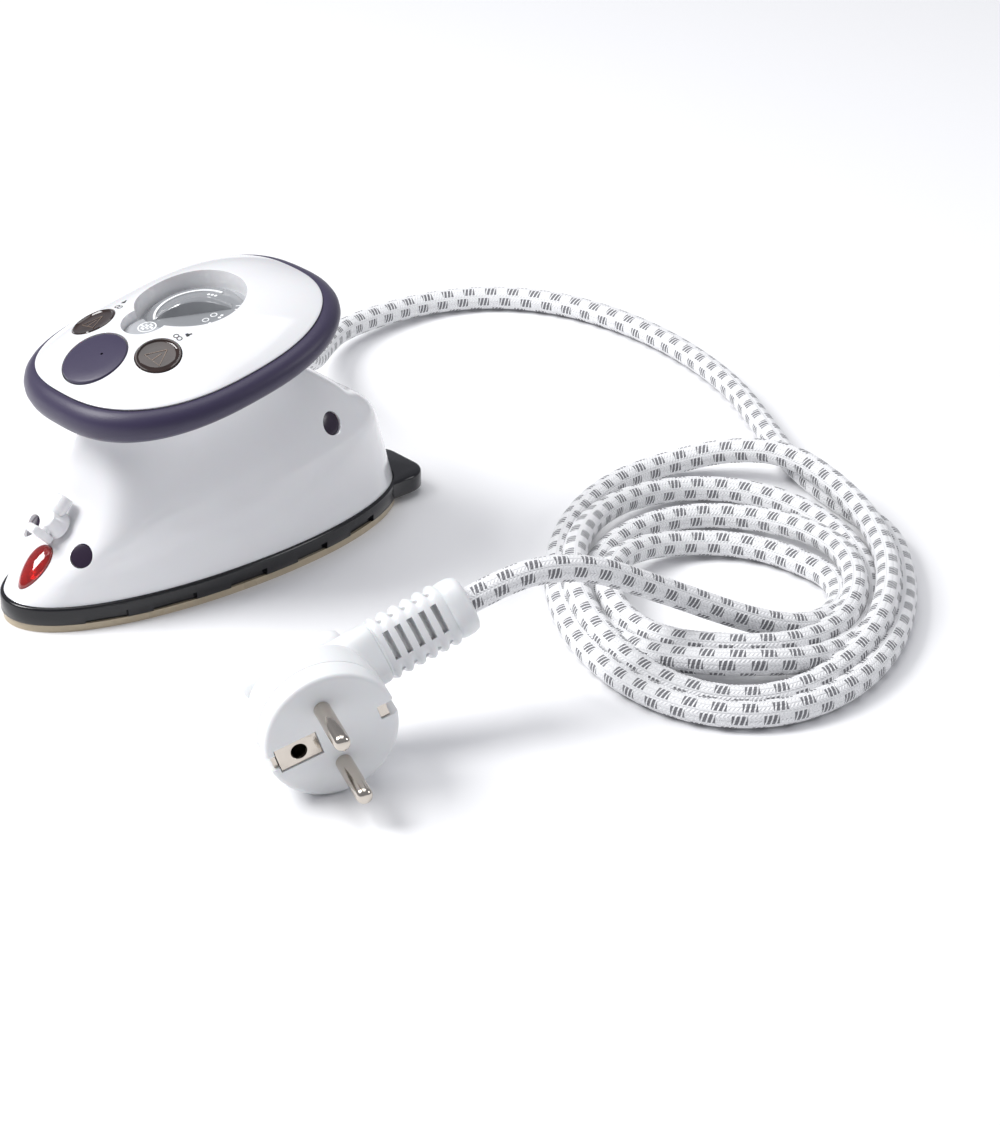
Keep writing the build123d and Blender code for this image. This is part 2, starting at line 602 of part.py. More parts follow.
with BuildPart() as filler_cap:
    add(rod(filler, FILLER_CAP_RADIUS, FILLER_CAP_BOTTOM, FILLER_CAP_TOP))
    fillet(filler_cap.faces().sort_by(Axis(filler.origin, filler.z_dir))[-1].edges(), 0.7)
    add(rod(filler, FILLER_BORE - MOVING_GAP, -5.6, FILLER_CAP_BOTTOM))
save(filler_cap.part, "filler_cap")

TUBE_RADIUS = 2.2
with BuildPart() as water_tube:
    with BuildLine() as tube_path:
        FilletPolyline((-45.6, 0, 21.9), (-40.5, 0, 26.8), (-35.0, 0, 34.0), (-29.8, 0, 47.0),
                       radius=6)
    with BuildSketch(Plane(origin=tube_path.line @ 0, z_dir=tube_path.line % 0)):
        Circle(TUBE_RADIUS)
    sweep(path=tube_path.line)
save(water_tube.part, "water_tube")

# ---------------------------------------------------------------- wiring in the neck
BLOCK_X = 11.0
BLOCK_Z = 42.0
with BuildPart() as terminal_block:
    with Locations((BLOCK_X, 0, BLOCK_Z)):
        Box(9, 16, 8)
    with Locations(*[(BLOCK_X, y, BLOCK_Z + 4) for y in (-5, 0, 5)]):
        Cylinder(1.6, 5, mode=Mode.SUBTRACT)
save(terminal_block.part, "terminal_block")

with BuildPart() as cord_clamp:
    with Locations((BLOCK_X - 0.5, 0, BLOCK_Z + 6.2)):
        Box(6, 18, 2.4)
    with Locations(*[(BLOCK_X - 0.5, y, BLOCK_Z + 6.2) for y in (-7, 7)]):
        Cylinder(1.2, 4, mode=Mode.SUBTRACT)
save(cord_clamp.part, "cord_clamp")

LEAD_RADIUS = 1.3
with BuildPart() as heater_leads:
    for side in (-1, 1):
        with BuildLine() as lead:
            FilletPolyline((BLOCK_X + 5.1, 4.5 * side, BLOCK_Z), (30.0, 6.0 * side, 34.0),
                           (44.0, 11.0 * side, 20.0),
                           (ELEMENT_REAR + 4.5, ELEMENT_LEG_Y * side, SKIRT_TOP + 0.6), radius=5)
        with BuildSketch(Plane(origin=lead.line @ 0, z_dir=lead.line % 0)):
            Circle(LEAD_RADIUS)
        sweep(path=lead.line)
save(heater_leads.part, "heater_leads")

with BuildPart() as cord_strain_relief:
    with BuildSketch(relief_frame):
        Circle(RELIEF_RADIUS)
    with BuildSketch(relief_frame.offset(8)):
        Circle(RELIEF_RADIUS)
    loft()
    with BuildSketch(relief_frame.offset(8)):
        Circle(RELIEF_RADIUS)
    with BuildSketch(relief_frame.offset(RELIEF_LENGTH)):
        Circle(CORD_RADIUS + 0.7)
    loft()
save(cord_strain_relief.part, "cord_strain_relief")

# ---------------------------------------------------------------- mains plug
PLUG_CENTRE = (-64.6, -140.5, 19.5)
PIN_DIRECTION = (-0.3505, -0.9353, -0.0483)
PLUG_TO_CORD = (0.8815, -0.3469, 0.3205)
PLUG_RADIUS = 19.0
PLUG_THICKNESS = 15.0
PLUG_DEPTH = 33.0
PIN_RADIUS = 2.4
PIN_ROOT_RADIUS = 2.0
PIN_LENGTH = 19.0
PIN_SPACING = 19.0
PIN_SEAT = 7.0
PIN_TIP = 1.2
CORD_SETBACK = 24.0
CORD_LEAN = 5.6
NECK_LENGTH = 22.0
PLUG_RELIEF_LENGTH = 29.0
PLUG_RELIEF_RADIUS = 8.6
PLUG_COLLAR_LENGTH = 7.5
PLUG_SLOTS = 5
PLUG_SLOT_PITCH = 4.0
EARTH_SOCKET_X = -10.0
EARTH_CLIP_WIDTH = 4.6
EARTH_CLIP_THICKNESS = 1.0
EARTH_GROOVE = 2.0

plug_frame = Plane(origin=PLUG_CENTRE, x_dir=PLUG_TO_CORD, z_dir=PIN_DIRECTION)
lead_out = Plane(plug_frame.location * Location((0, 0, -CORD_SETBACK), (0, 90 + CORD_LEAN, 0)))
pin_spots = [(0, PIN_SPACING / 2), (0, -PIN_SPACING / 2)]
with BuildPart() as plug_body:
    with BuildSketch(plug_frame.offset(-PLUG_THICKNESS)):
        Circle(PLUG_RADIUS)
    extrude(amount=PLUG_THICKNESS)
    with BuildSketch(plug_frame.offset(-PLUG_THICKNESS)):
        Circle(PLUG_RADIUS - 1)
    with BuildSketch(plug_frame.offset(-PLUG_DEPTH)):
        RectangleRounded(26, 15, 6)
    loft()
    with BuildSketch(lead_out):
        RectangleRounded(17, 17, 6)
    with BuildSketch(lead_out.offset(NECK_LENGTH)):
        RectangleRounded(2 * PLUG_RELIEF_RADIUS - 1, 2 * PLUG_RELIEF_RADIUS - 1, 6)
    loft()
    for spot in pin_spots:
        add(rod(plug_frame, PIN_ROOT_RADIUS, -PIN_SEAT, 1, *spot), mode=Mode.SUBTRACT)
    add(rod(plug_frame, PIN_RADIUS + 0.7, -PIN_LENGTH + 1, 1, EARTH_SOCKET_X, 0), mode=Mode.SUBTRACT)
    for side in (-1, 1):
        with Locations(plug_frame.location * Location((side * PLUG_RADIUS, 0, -PLUG_THICKNESS / 2))):
            Box(2 * EARTH_GROOVE, EARTH_CLIP_WIDTH, PLUG_THICKNESS + 1,
                mode=Mode.SUBTRACT)
save(plug_body.part, "plug_body")

with BuildPart() as plug_pins:
    for spot in pin_spots:
        add(rod(plug_frame, PIN_RADIUS, 0, PIN_LENGTH, *spot))
        add(rod(plug_frame, PIN_ROOT_RADIUS, -PIN_SEAT, 0, *spot))
    chamfer(plug_pins.faces().group_by(Axis(plug_frame.origin, plug_frame.z_dir))[-1].edges(),
            PIN_TIP)
save(plug_pins.part, "plug_pins")

with BuildPart() as plug_earth_contacts:
    for side in (-1, 1):
        inner = PLUG_RADIUS - EARTH_GROOVE + EARTH_CLIP_THICKNESS / 2
        with Locations(plug_frame.location * Location((side * inner, 0, -PLUG_THICKNESS / 2))):
            Box(EARTH_CLIP_THICKNESS, EARTH_CLIP_WIDTH - 0.2, PLUG_THICKNESS - 1)
    add(rod(plug_frame, PIN_RADIUS + 0.7, -PIN_LENGTH + 1, -0.5, EARTH_SOCKET_X, 0))
    add(rod(plug_frame, PIN_RADIUS + 0.1, -PIN_LENGTH + 3, 1, EARTH_SOCKET_X, 0),
        mode=Mode.SUBTRACT)
save(plug_earth_contacts.part, "plug_earth_contacts")

with BuildPart() as plug_strain_relief:
    with BuildSketch(lead_out.offset(NECK_LENGTH)):
        RectangleRounded(2 * PLUG_RELIEF_RADIUS, 2 * PLUG_RELIEF_RADIUS - 2, 5)
    with BuildSketch(lead_out.offset(NECK_LENGTH + PLUG_RELIEF_LENGTH)):
        RectangleRounded(2 * PLUG_RELIEF_RADIUS - 2, 2 * PLUG_RELIEF_RADIUS - 4, 5)
    loft()
    for number in range(PLUG_SLOTS):
        slot_at = NECK_LENGTH + 2 + PLUG_SLOT_PITCH * number
        for turn in (0, 90, 180, 270):
            with Locations(lead_out.location * Location((0, 0, slot_at), (0, 0, turn))
                           * Location((PLUG_RELIEF_RADIUS - 0.4, 0, 0))):
                Box(5, 7, 1.9, mode=Mode.SUBTRACT)
save(plug_strain_relief.part, "plug_strain_relief")

# ---------------------------------------------------------------- mains cord
relief_exit = relief_frame.origin + relief_frame.z_dir * RELIEF_LENGTH
relief_run = relief_exit + relief_frame.z_dir * 17
plug_exit = lead_out.origin + lead_out.z_dir * (NECK_LENGTH + PLUG_RELIEF_LENGTH)
plug_run = plug_exit + lead_out.z_dir * 14
FLOOR_Z = 4.3
COIL_FRONT_LONG = 88.3
COIL_SHORT = 56.8
COIL_HEIGHT = 16.0
COIL_TURN = 49.1


def cord_tube(points):
    """A tube of the cord's section along straight runs joined by arcs."""
    runs = [b - a for a, b in zip(points, points[1:])]
    radii = []
    for before, after in zip(runs, runs[1:]):
        half_turn = math.radians(before.get_angle(after)) / 2
        radii.append(0.45 * min(before.length, after.length) / math.tan(half_turn))
    print("tightest arc", round(min(radii), 1))
    with BuildPart() as tube:
        with BuildLine() as route:
            FilletPolyline(*points, radius=radii)
        with BuildSketch(Plane(origin=route.line @ 0, z_dir=route.line % 0)):
            Circle(CORD_RADIUS)
        sweep(path=route.line)
    length = sum(edge.length for edge in route.edges())
    print("tube volume over section times length",
          round(tube.part.volume / (math.pi * CORD_RADIUS**2 * length), 4),
          "length", round(length, 1))
    return tube.part


power_cord = cord_tube([
    relief_exit, relief_run,
    Vector(63.5, 38.5, 34.5), Vector(77.0, 52.0, 24.0), Vector(91.5, 66.5, 15.0),
    Vector(107.0, 82.0, 9.5), Vector(124.0, 94.5, 7.0), Vector(146.0, 98.8, 5.4),
    Vector(169.0, 97.5, 4.5), Vector(189.0, 87.0, FLOOR_Z), Vector(202.5, 68.0, FLOOR_Z),
    Vector(208.0, 45.0, FLOOR_Z), Vector(208.5, 20.0, FLOOR_Z), Vector(204.5, -5.0, FLOOR_Z),
    Vector(197.0, -29.0, FLOOR_Z), Vector(186.0, -51.0, FLOOR_Z), Vector(175.5, -71.0, FLOOR_Z),
    Vector(168.0, -90.0, FLOOR_Z),
])
save(power_cord, "power_cord")

with BuildPart() as cord_coil:
    with BuildSketch(Plane.XY.offset(FLOOR_Z - CORD_RADIUS)):
        with Locations(Location((101.5, -121.5, 0), (0, 0, COIL_TURN))):
            Ellipse(COIL_FRONT_LONG, COIL_SHORT)
        with Locations(Location((92, -131, 0), (0, 0, COIL_TURN))):
            Ellipse(30, 20, mode=Mode.SUBTRACT)
    extrude(amount=COIL_HEIGHT)
save(cord_coil.part, "cord_coil")

cord_tail = cord_tube([
    plug_exit, plug_run, Vector(17.0, -138.4, 42.0), Vector(30.6, -142.0, 38.0),
    Vector(43.0, -144.6, 30.8), Vector(55.0, -147.2, 22.8), Vector(66.0, -150.8, 14.5),
])
save(cord_tail, "cord_tail")
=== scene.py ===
"""Small travel steam iron with a braided mains lead: its outer skins, finishes and lead.

Sizes are in millimetres until a mesh is made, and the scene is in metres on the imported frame.
"""

import math
from functools import partial

import bmesh
import bpy
from mathutils import Matrix, Vector


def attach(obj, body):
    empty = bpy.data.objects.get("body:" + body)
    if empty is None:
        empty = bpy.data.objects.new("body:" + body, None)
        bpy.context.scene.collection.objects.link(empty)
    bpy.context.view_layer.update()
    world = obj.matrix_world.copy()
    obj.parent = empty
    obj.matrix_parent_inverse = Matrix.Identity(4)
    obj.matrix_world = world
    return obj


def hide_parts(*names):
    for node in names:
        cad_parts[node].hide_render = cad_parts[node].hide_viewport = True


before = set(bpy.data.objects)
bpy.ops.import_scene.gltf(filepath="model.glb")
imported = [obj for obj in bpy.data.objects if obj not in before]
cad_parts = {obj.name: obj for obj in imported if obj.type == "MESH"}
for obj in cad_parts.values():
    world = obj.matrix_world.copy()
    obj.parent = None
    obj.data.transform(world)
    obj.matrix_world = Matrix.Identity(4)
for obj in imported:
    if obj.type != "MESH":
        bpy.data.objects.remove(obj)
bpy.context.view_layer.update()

MM = 0.001
X, Y, Z = Vector((1, 0, 0)), Vector((0, 1, 0)), Vector((0, 0, 1))
SHARP = 38  # degrees over which an edge stays crisp, where a piece doesn't say otherwise

# ---- camera
camera = bpy.data.objects.new("camera", bpy.data.cameras.new("camera"))
bpy.context.collection.objects.link(camera)
camera.location = (-0.5570, -0.77764, 0.4870)
camera.rotation_euler = (math.radians(62.69), 0, math.radians(-40.886))
camera.data.sensor_fit = "HORIZONTAL"
camera.data.sensor_width = 36
camera.data.lens = 124.6
camera.data.clip_start = 0.05
bpy.context.scene.camera = camera
bpy.context.scene.view_settings.view_transform = "Standard"


# ---- frames and meshes
def frame_at(origin, normal, along):
    """A frame in mm whose z is `normal` and whose x is nearest to `along`."""
    z = Vector(normal).normalized()
    x = Vector(along)
    x = (x - z * x.dot(z)).normalized()
    return Matrix.Translation(origin) @ Matrix((x, z.cross(x), z)).transposed().to_4x4()


HANDLE_X, HANDLE_Z = -9.5, 74.4
TILT = math.radians(10.87)
handle = frame_at((HANDLE_X, 0, HANDLE_Z), (-math.sin(TILT), 0, math.cos(TILT)), X)


def linked(name, data):
    """An object of the given data, linked to the scene."""
    made = bpy.data.objects.new(name, data)
    bpy.context.collection.objects.link(made)
    return made


def shaded(mesh, sharp=SHARP):
    """Shades a mesh smooth, with its edges over `sharp` degrees kept crisp."""
    mesh.polygons.foreach_set("use_smooth", [True] * len(mesh.polygons))
    mesh.set_sharp_from_angle(angle=math.radians(sharp))


def plain_mesh(carrier):
    """A plain mesh of an object with its modifiers applied."""
    bpy.context.view_layer.update()
    graph = bpy.context.evaluated_depsgraph_get()
    return bpy.data.meshes.new_from_object(carrier.evaluated_get(graph))


def make_piece(name, points, faces, material, sharp=SHARP, outward=True):
    """A smooth-shaded piece from points in mm, with its edges over `sharp` degrees kept crisp."""
    mesh = bpy.data.meshes.new(name)
    mesh.from_pydata([Vector(p) * MM for p in points], [], faces)
    shape = bmesh.new()
    shape.from_mesh(mesh)
    bmesh.ops.remove_doubles(shape, verts=shape.verts, dist=1e-7)
    if outward:
        bmesh.ops.recalc_face_normals(shape, faces=shape.faces)
    shape.to_mesh(mesh)
    shape.free()
    shaded(mesh, sharp)
    mesh.materials.append(material)
    return linked(name, mesh)


def skin(name, rings, material, sharp=SHARP, closed=False):
    """A skin over rings of equal count, capped at both ends, or `closed` from last to first."""
    count = len(rings[0])
    points = [p for ring in rings for p in ring]
    faces = []
    for row in range(len(rings) if closed else len(rings) - 1):
        here = row * count
        there = (row + 1) % len(rings) * count
        for i in range(count):
            j = (i + 1) % count
            faces.append((here + i, here + j, there + j, there + i))
    if not closed:
        faces.append(tuple(reversed(range(count))))
        faces.append(tuple(range((len(rings) - 1) * count, len(rings) * count)))
    return make_piece(name, points, faces, material, sharp)


def turned(name, place, profile, material, steps=96):
    """A turned piece about z of `place`: `profile` is (radius, height) from its foot up."""
    angles = [2 * math.pi * i / steps for i in range(steps)]
    rings = [[place @ Vector((radius * math.cos(a), radius * math.sin(a), height)) for a in angles]
             for radius, height in profile]
    return skin(name, rings, material)


def combined(piece, operation, others, rim, sharp):
    """The piece cut by or welded to others, which are spent, its sharp edges rounded by `rim`."""
    for other in others:
        step = piece.modifiers.new("combined", "BOOLEAN")
        step.operation = operation
        step.solver = "EXACT"
        step.object = other
    mesh = plain_mesh(piece)
    piece.modifiers.clear()
    shape = bmesh.new()
    shape.from_mesh(mesh)
    bmesh.ops.remove_doubles(shape, verts=shape.verts, dist=0.03 * MM)
    bmesh.ops.dissolve_degenerate(shape, edges=shape.edges, dist=0.02 * MM)
    if rim:
        edges = [e for e in shape.edges
                 if len(e.link_faces) == 2 and e.calc_face_angle(0) > math.radians(sharp)]
        bmesh.ops.bevel(shape, geom=edges, offset=rim * MM, segments=3, profile=0.5,
                        affect="EDGES", clamp_overlap=True)
    shape.to_mesh(mesh)
    shape.free()
    shaded(mesh, sharp)
    piece.data = mesh
    for other in others:
        bpy.data.objects.remove(other)
    return piece


def drilled(piece, cutters, rim=0.0, sharp=SHARP):
    """The piece with the cutters taken out of it."""
    return combined(piece, "DIFFERENCE", cutters, rim, sharp)


def joined(piece, others, rim=0.0, sharp=SHARP):
    """The piece merged with others into one closed skin."""
    return combined(piece, "UNION", others, rim, sharp)


def merged(name, pieces):
    """Several pieces of one finish as one object."""
    shape = bmesh.new()
    for piece in pieces:
        shape.from_mesh(piece.data)
    mesh = bpy.data.meshes.new(name)
    shape.to_mesh(mesh)
    shape.free()
    shaded(mesh)
    mesh.materials.append(pieces[0].data.materials[0])
    for piece in pieces:
        bpy.data.objects.remove(piece)
    return linked(name, mesh)


# ---- nodes
def feed(socket, value):
    """Links a node's input to another socket, or sets it to a plain value."""
    if isinstance(value, bpy.types.NodeSocket):
        socket.id_data.links.new(value, socket)
    else:
        socket.default_value = value


def node(tree, kind, **inputs):
    """A node of a kind; inputs are values or sockets by name with spaces as underscores."""
    made = tree.nodes.new(kind)
    for key, value in inputs.items():
        feed(made.inputs[key.replace("_", " ")], value)
    return made


def maths(tree, operation, *values):
    """The value of a Math node over numbers or sockets."""
    made = tree.nodes.new("ShaderNodeMath")
    made.operation = operation
    for socket, value in zip(made.inputs, values):
        feed(socket, value)
    return made.outputs[0]


def mixed(tree, factor, first, second):
    """A colour mix; factor, first and second are sockets or values."""
    made = tree.nodes.new("ShaderNodeMix")
    made.data_type = "RGBA"
    # a colour mix has its factor first and its two colours at 6 and 7
    for index, value in ((0, factor), (6, first), (7, second)):
        feed(made.inputs[index], value)
    return made.outputs[2]


def row_of_copies():
    """Geometry nodes: copies of the given shape, each moved by a step and turned about z."""
    tree = bpy.data.node_groups.new("row of copies", "GeometryNodeTree")
    for name, kind in (("Shape", "Geometry"), ("Count", "Int"), ("Step", "Vector"),
                       ("Turn", "Float"), ("Finish", "Material")):
        tree.interface.new_socket(name=name, in_out="INPUT", socket_type="NodeSocket" + kind)
    tree.interface.new_socket(name="Row", in_out="OUTPUT", socket_type="NodeSocketGeometry")
    given = tree.nodes.new("NodeGroupInput").outputs
    line = node(tree, "GeometryNodeMeshLine", Count=given["Count"], Offset=given["Step"])
    line.mode = "OFFSET"
    index = tree.nodes.new("GeometryNodeInputIndex").outputs[0]
    way = node(tree, "ShaderNodeCombineXYZ", Z=maths(tree, "MULTIPLY", index, given["Turn"]))
    copies = node(tree, "GeometryNodeInstanceOnPoints", Points=line.outputs["Mesh"],
                  Instance=given["Shape"], Rotation=way.outputs[0])
    real = node(tree, "GeometryNodeRealizeInstances", Geometry=copies.outputs[0])
    finish = node(tree, "GeometryNodeSetMaterial", Geometry=real.outputs[0],
                  Material=given["Finish"])
    feed(tree.nodes.new("NodeGroupOutput").inputs[0], finish.outputs[0])
    return tree


COPIES = row_of_copies()


def row(name, shape, place, count, step=(0, 0, 0), turn=0.0):
    """Copies of a shape drawn about the origin, in `place`: step in mm, turn in degrees."""
    material = shape.data.materials[0]
    copier = shape.modifiers.new("row", "NODES")
    copier.node_group = COPIES
    values = {"Count": count, "Step": tuple(v * MM for v in step), "Turn": math.radians(turn),
              "Finish": material}
    for item in COPIES.interface.items_tree:
        if item.in_out == "INPUT" and item.name in values:
            copier[item.identifier] = values[item.name]
    mesh = plain_mesh(shape)
    bpy.data.objects.remove(shape)
    spot = place.copy()
    spot.translation = spot.translation * MM
    mesh.transform(spot)
    mesh.name = name
    mesh.materials.clear()
    mesh.materials.append(material)
    shaded(mesh)
    return linked(name, mesh)


# ---- outlines
def block(name, place, size, material, bottom=0.0):
    """A plain block of a size in mm, standing on `bottom` in its frame, used to cut and to mark."""
    sx, sy, sz = size
    corners = [place @ Vector((dx * sx / 2, dy * sy / 2, bottom + z))
               for z in (0, sz) for dx, dy in ((-1, -1), (1, -1), (1, 1), (-1, 1))]
    return skin(name, [corners[:4], corners[4:]], material)


def oval(front, rear, half_width, widest, front_square, rear_square, count=192):
    """Plan points of an oval whose two ends have their own length and squareness."""
    points = []
    for step in range(count):
        angle = 2 * math.pi * (step + 0.5) / count
        c, s = math.cos(angle), math.sin(angle)
        reach = rear - widest if c > 0 else widest - front
        square = rear_square if c > 0 else front_square
        points.append(Vector((widest + reach * math.copysign(abs(c) ** (2 / square), c),
                              half_width * math.copysign(abs(s) ** (2 / square), s), 0)))
    return points


def grown(points, amount):
    """A closed plan outline moved outwards along its normals."""
    result = []
    for i, p in enumerate(points):
        run = points[(i + 1) % len(points)] - points[i - 1]
        result.append(p + Vector((run.y, -run.x, 0)).normalized() * amount)
    return result


def at_height(points, z):
    """Plan points lifted to a height."""
    return [Vector((p.x, p.y, z)) for p in points]


# ---- finishes
def shader(name, **settings):
    """A material with a Principled BSDF whose named sockets are set."""
    material = bpy.data.materials.new(name)
    material.use_nodes = True
    bsdf = material.node_tree.nodes["Principled BSDF"]
    for key, value in settings.items():
        bsdf.inputs[key.replace("_", " ")].default_value = value
    return material, material.node_tree, bsdf


def moulded_surface():
    """Group: the faint colour drift, gloss drift and micro relief of a moulded surface."""
    tree = bpy.data.node_groups.new("moulded surface", "ShaderNodeTree")
    for name, kind, default in (("Colour", "Color", (0.8, 0.8, 0.8, 1)), ("Drift", "Float", 0.04),
                                ("Roughness", "Float", 0.2), ("Roughness Drift", "Float", 0.05),
                                ("Grain Size", "Float", 900.0), ("Relief", "Float", 0.02)):
        tree.interface.new_socket(name=name, in_out="INPUT",
                                  socket_type="NodeSocket" + kind).default_value = default
    for name, kind in (("Colour", "Color"), ("Roughness", "Float"), ("Normal", "Vector")):
        tree.interface.new_socket(name=name, in_out="OUTPUT", socket_type="NodeSocket" + kind)
    given = tree.nodes.new("NodeGroupInput").outputs
    result = tree.nodes.new("NodeGroupOutput").inputs
    place = tree.nodes.new("ShaderNodeTexCoord").outputs["Object"]
    cloud = node(tree, "ShaderNodeTexNoise", Vector=place, Scale=38.0, Detail=3.0)
    fine = node(tree, "ShaderNodeTexNoise", Vector=place, Scale=given["Grain Size"], Detail=2.0)
    centred = maths(tree, "SUBTRACT", cloud.outputs["Fac"], 0.5)
    shade = maths(tree, "ADD", maths(tree, "MULTIPLY", centred, given["Drift"]), 1.0)
    tint = tree.nodes.new("ShaderNodeVectorMath")
    tint.operation = "SCALE"
    feed(tint.inputs[0], given["Colour"])
    feed(tint.inputs["Scale"], shade)
    feed(result["Colour"], tint.outputs[0])
    feed(result["Roughness"], maths(tree, "ADD", given["Roughness"],
                                    maths(tree, "MULTIPLY", centred, given["Roughness Drift"])))
    bump = node(tree, "ShaderNodeBump", Strength=given["Relief"], Distance=0.0002,
                Height=fine.outputs["Fac"])
    feed(result["Normal"], bump.outputs[0])
    return tree


MOULDED = moulded_surface()


def moulded(name, colour, roughness, drift=0.04, roughness_drift=0.06, grain=900.0, relief=0.05,
            **settings):
    """A moulded plastic finish from the shared surface group."""
    material, tree, bsdf = shader(name, **settings)
    group = tree.nodes.new("ShaderNodeGroup")
    group.node_tree = MOULDED
    for key, value in (("Colour", colour), ("Drift", drift), ("Roughness", roughness),
                       ("Roughness Drift", roughness_drift), ("Grain Size", grain),
                       ("Relief", relief)):
        feed(group.inputs[key], value)
    for made, used in (("Colour", "Base Color"), ("Roughness", "Roughness"), ("Normal", "Normal")):
        feed(bsdf.inputs[used], group.outputs[made])
    return material


white_plastic = moulded("gloss white plastic", (0.83, 0.83, 0.845, 1), 0.16, grain=260.0,
                        relief=0.02, Coat_Weight=0.6, Coat_Roughness=0.05,
                        Subsurface_Weight=0.05, Subsurface_Scale=0.002)
black_plastic = moulded("gloss black plastic", (0.008, 0.008, 0.010, 1), 0.16, drift=0.4,
                        relief=0.02)
plum_plastic = moulded("gloss plum plastic", (0.022, 0.012, 0.03, 1), 0.22, drift=0.3)
soft_grip = moulded("soft plum grip", (0.030, 0.022, 0.062, 1), 0.40, drift=0.2, grain=2600.0,
                    relief=0.25, Sheen_Weight=0.12, Sheen_Roughness=0.5)
ceramic = moulded("champagne ceramic", (0.50, 0.42, 0.30, 1), 0.28, drift=0.1, grain=3000.0,
                  relief=0.12)
grey_plastic = moulded("pearl grey plastic", (0.42, 0.43, 0.45, 1), 0.2, drift=0.1,
                       Coat_Weight=0.5, Coat_Roughness=0.06)
dial_plastic = moulded("smoky dial plastic", (0.30, 0.31, 0.325, 1), 0.14, drift=0.12,
                       Coat_Weight=1.0, Coat_Roughness=0.03, Transmission_Weight=0.1)
soft_white = moulded("soft white plug plastic", (0.80, 0.81, 0.82, 1), 0.36, grain=1500.0,
                     relief=0.12, Subsurface_Weight=0.08, Subsurface_Scale=0.002)
print_white = moulded("white print", (0.86, 0.87, 0.88, 1), 0.4)
print_black = moulded("black print", (0.02, 0.02, 0.022, 1), 0.4)
print_brown = moulded("moulded window mark", (0.20, 0.15, 0.12, 1), 0.3)
nickel = moulded("nickel plate", (0.60, 0.55, 0.49, 1), 0.16, drift=0.1, grain=1800.0,
                 relief=0.08, Metallic=1.0)
steel = moulded("turned steel", (0.56, 0.56, 0.58, 1), 0.3, drift=0.1, Metallic=1.0)
brass = moulded("turned brass", (0.60, 0.42, 0.18, 1), 0.28, drift=0.1, Metallic=1.0)
aluminium = moulded("cast aluminium", (0.62, 0.62, 0.63, 1), 0.42, drift=0.15, Metallic=1.0)
silicone = moulded("milky silicone", (0.62, 0.61, 0.58, 1), 0.5)
clear_tank = moulded("clear tank plastic", (0.85, 0.87, 0.88, 1), 0.08, Transmission_Weight=0.85,
                     IOR=1.49)
ivory = moulded("ceramic insulator", (0.62, 0.56, 0.46, 1), 0.6, drift=0.15)
sleeve = moulded("woven wire sleeve", (0.55, 0.10, 0.07, 1), 0.75, drift=0.3, grain=2600.0,
                 relief=0.5)


def clouded_glass(name, cloud_scale, detail, light, dark, **settings):
    """A clear moulding whose colour drifts between a light tone and a dark one."""
    material, tree, bsdf = shader(name, IOR=1.49, Coat_Roughness=0.02, **settings)
    place = tree.nodes.new("ShaderNodeTexCoord").outputs["Object"]
    cloud = node(tree, "ShaderNodeTexNoise", Vector=place, Scale=cloud_scale, Detail=detail)
    feed(bsdf.inputs["Base Color"], mixed(tree, cloud.outputs["Fac"], light, dark))
    return material


red_lens = clouded_glass("red lens", 330.0, 1.0, (0.75, 0.015, 0.01, 1), (0.22, 0.002, 0.002, 1),
                         Roughness=0.04, Transmission_Weight=0.45, Coat_Weight=1.0)
smoked = clouded_glass("smoked window", 170.0, 2.0, (0.045, 0.022, 0.016, 1),
                       (0.006, 0.003, 0.003, 1), Roughness=0.05, Coat_Weight=0.5)

# ---- mains lead
CORD_DIAMETER = 7.8
FLOOR_Z = 4.3  # height of its middle where it lies on the floor
RELIEF_START = Vector((12.0, 2.5, 57.5))
RELIEF_WAY = Vector((0.80, 0.52, -0.30)).normalized()
RELIEF_LENGTH = 30.0
relief_exit = RELIEF_START + RELIEF_WAY * RELIEF_LENGTH
relief_run = relief_exit + RELIEF_WAY * 17  # the lead leaves each relief straight

plug = frame_at((-64.6, -140.5, 19.5), (-0.3505, -0.9353, -0.0483), (0.8815, -0.3469, 0.3205))
LEAN = math.radians(5.6)
lead_way = (plug.to_3x3() @ Vector((math.cos(LEAN), 0, -math.sin(LEAN)))).normalized()
lead_start = plug @ Vector((0, 0, -24.0))
PLUG_RELIEF_END = 51.0
plug_exit = lead_start + lead_way * PLUG_RELIEF_END
plug_run = plug_exit + lead_way * 14

# the coil shrinks by a share each turn: its far side is fanned out, its near side is heaped
COIL_FAR = Vector((0.6546, 0.7560, 0))
COIL_RIGHT = Vector((0.7560, -0.6546, 0))
COIL_START, COIL_END, COIL_STEP = 80, 1488, 22
LONG_REACH, LONG_SHRINK = 87.8, 14.2
SIDE_REACH, SIDE_SHRINK = 53.2, 5.2
# how far each turn rides up on the ones below, at its sides and at its near end
SIDE_LIFT = (0.0, 5.8, 0.0, 5.8, 0.0)
NEAR_LIFT = (0.0, 0.0, 7.6, 7.6, 0.0)
# where the second turn climbs over the run that comes in from the iron
CROSSING_AT = 392
CROSSING_SPREAD = 55
CROSSING_LIFT = 8.4


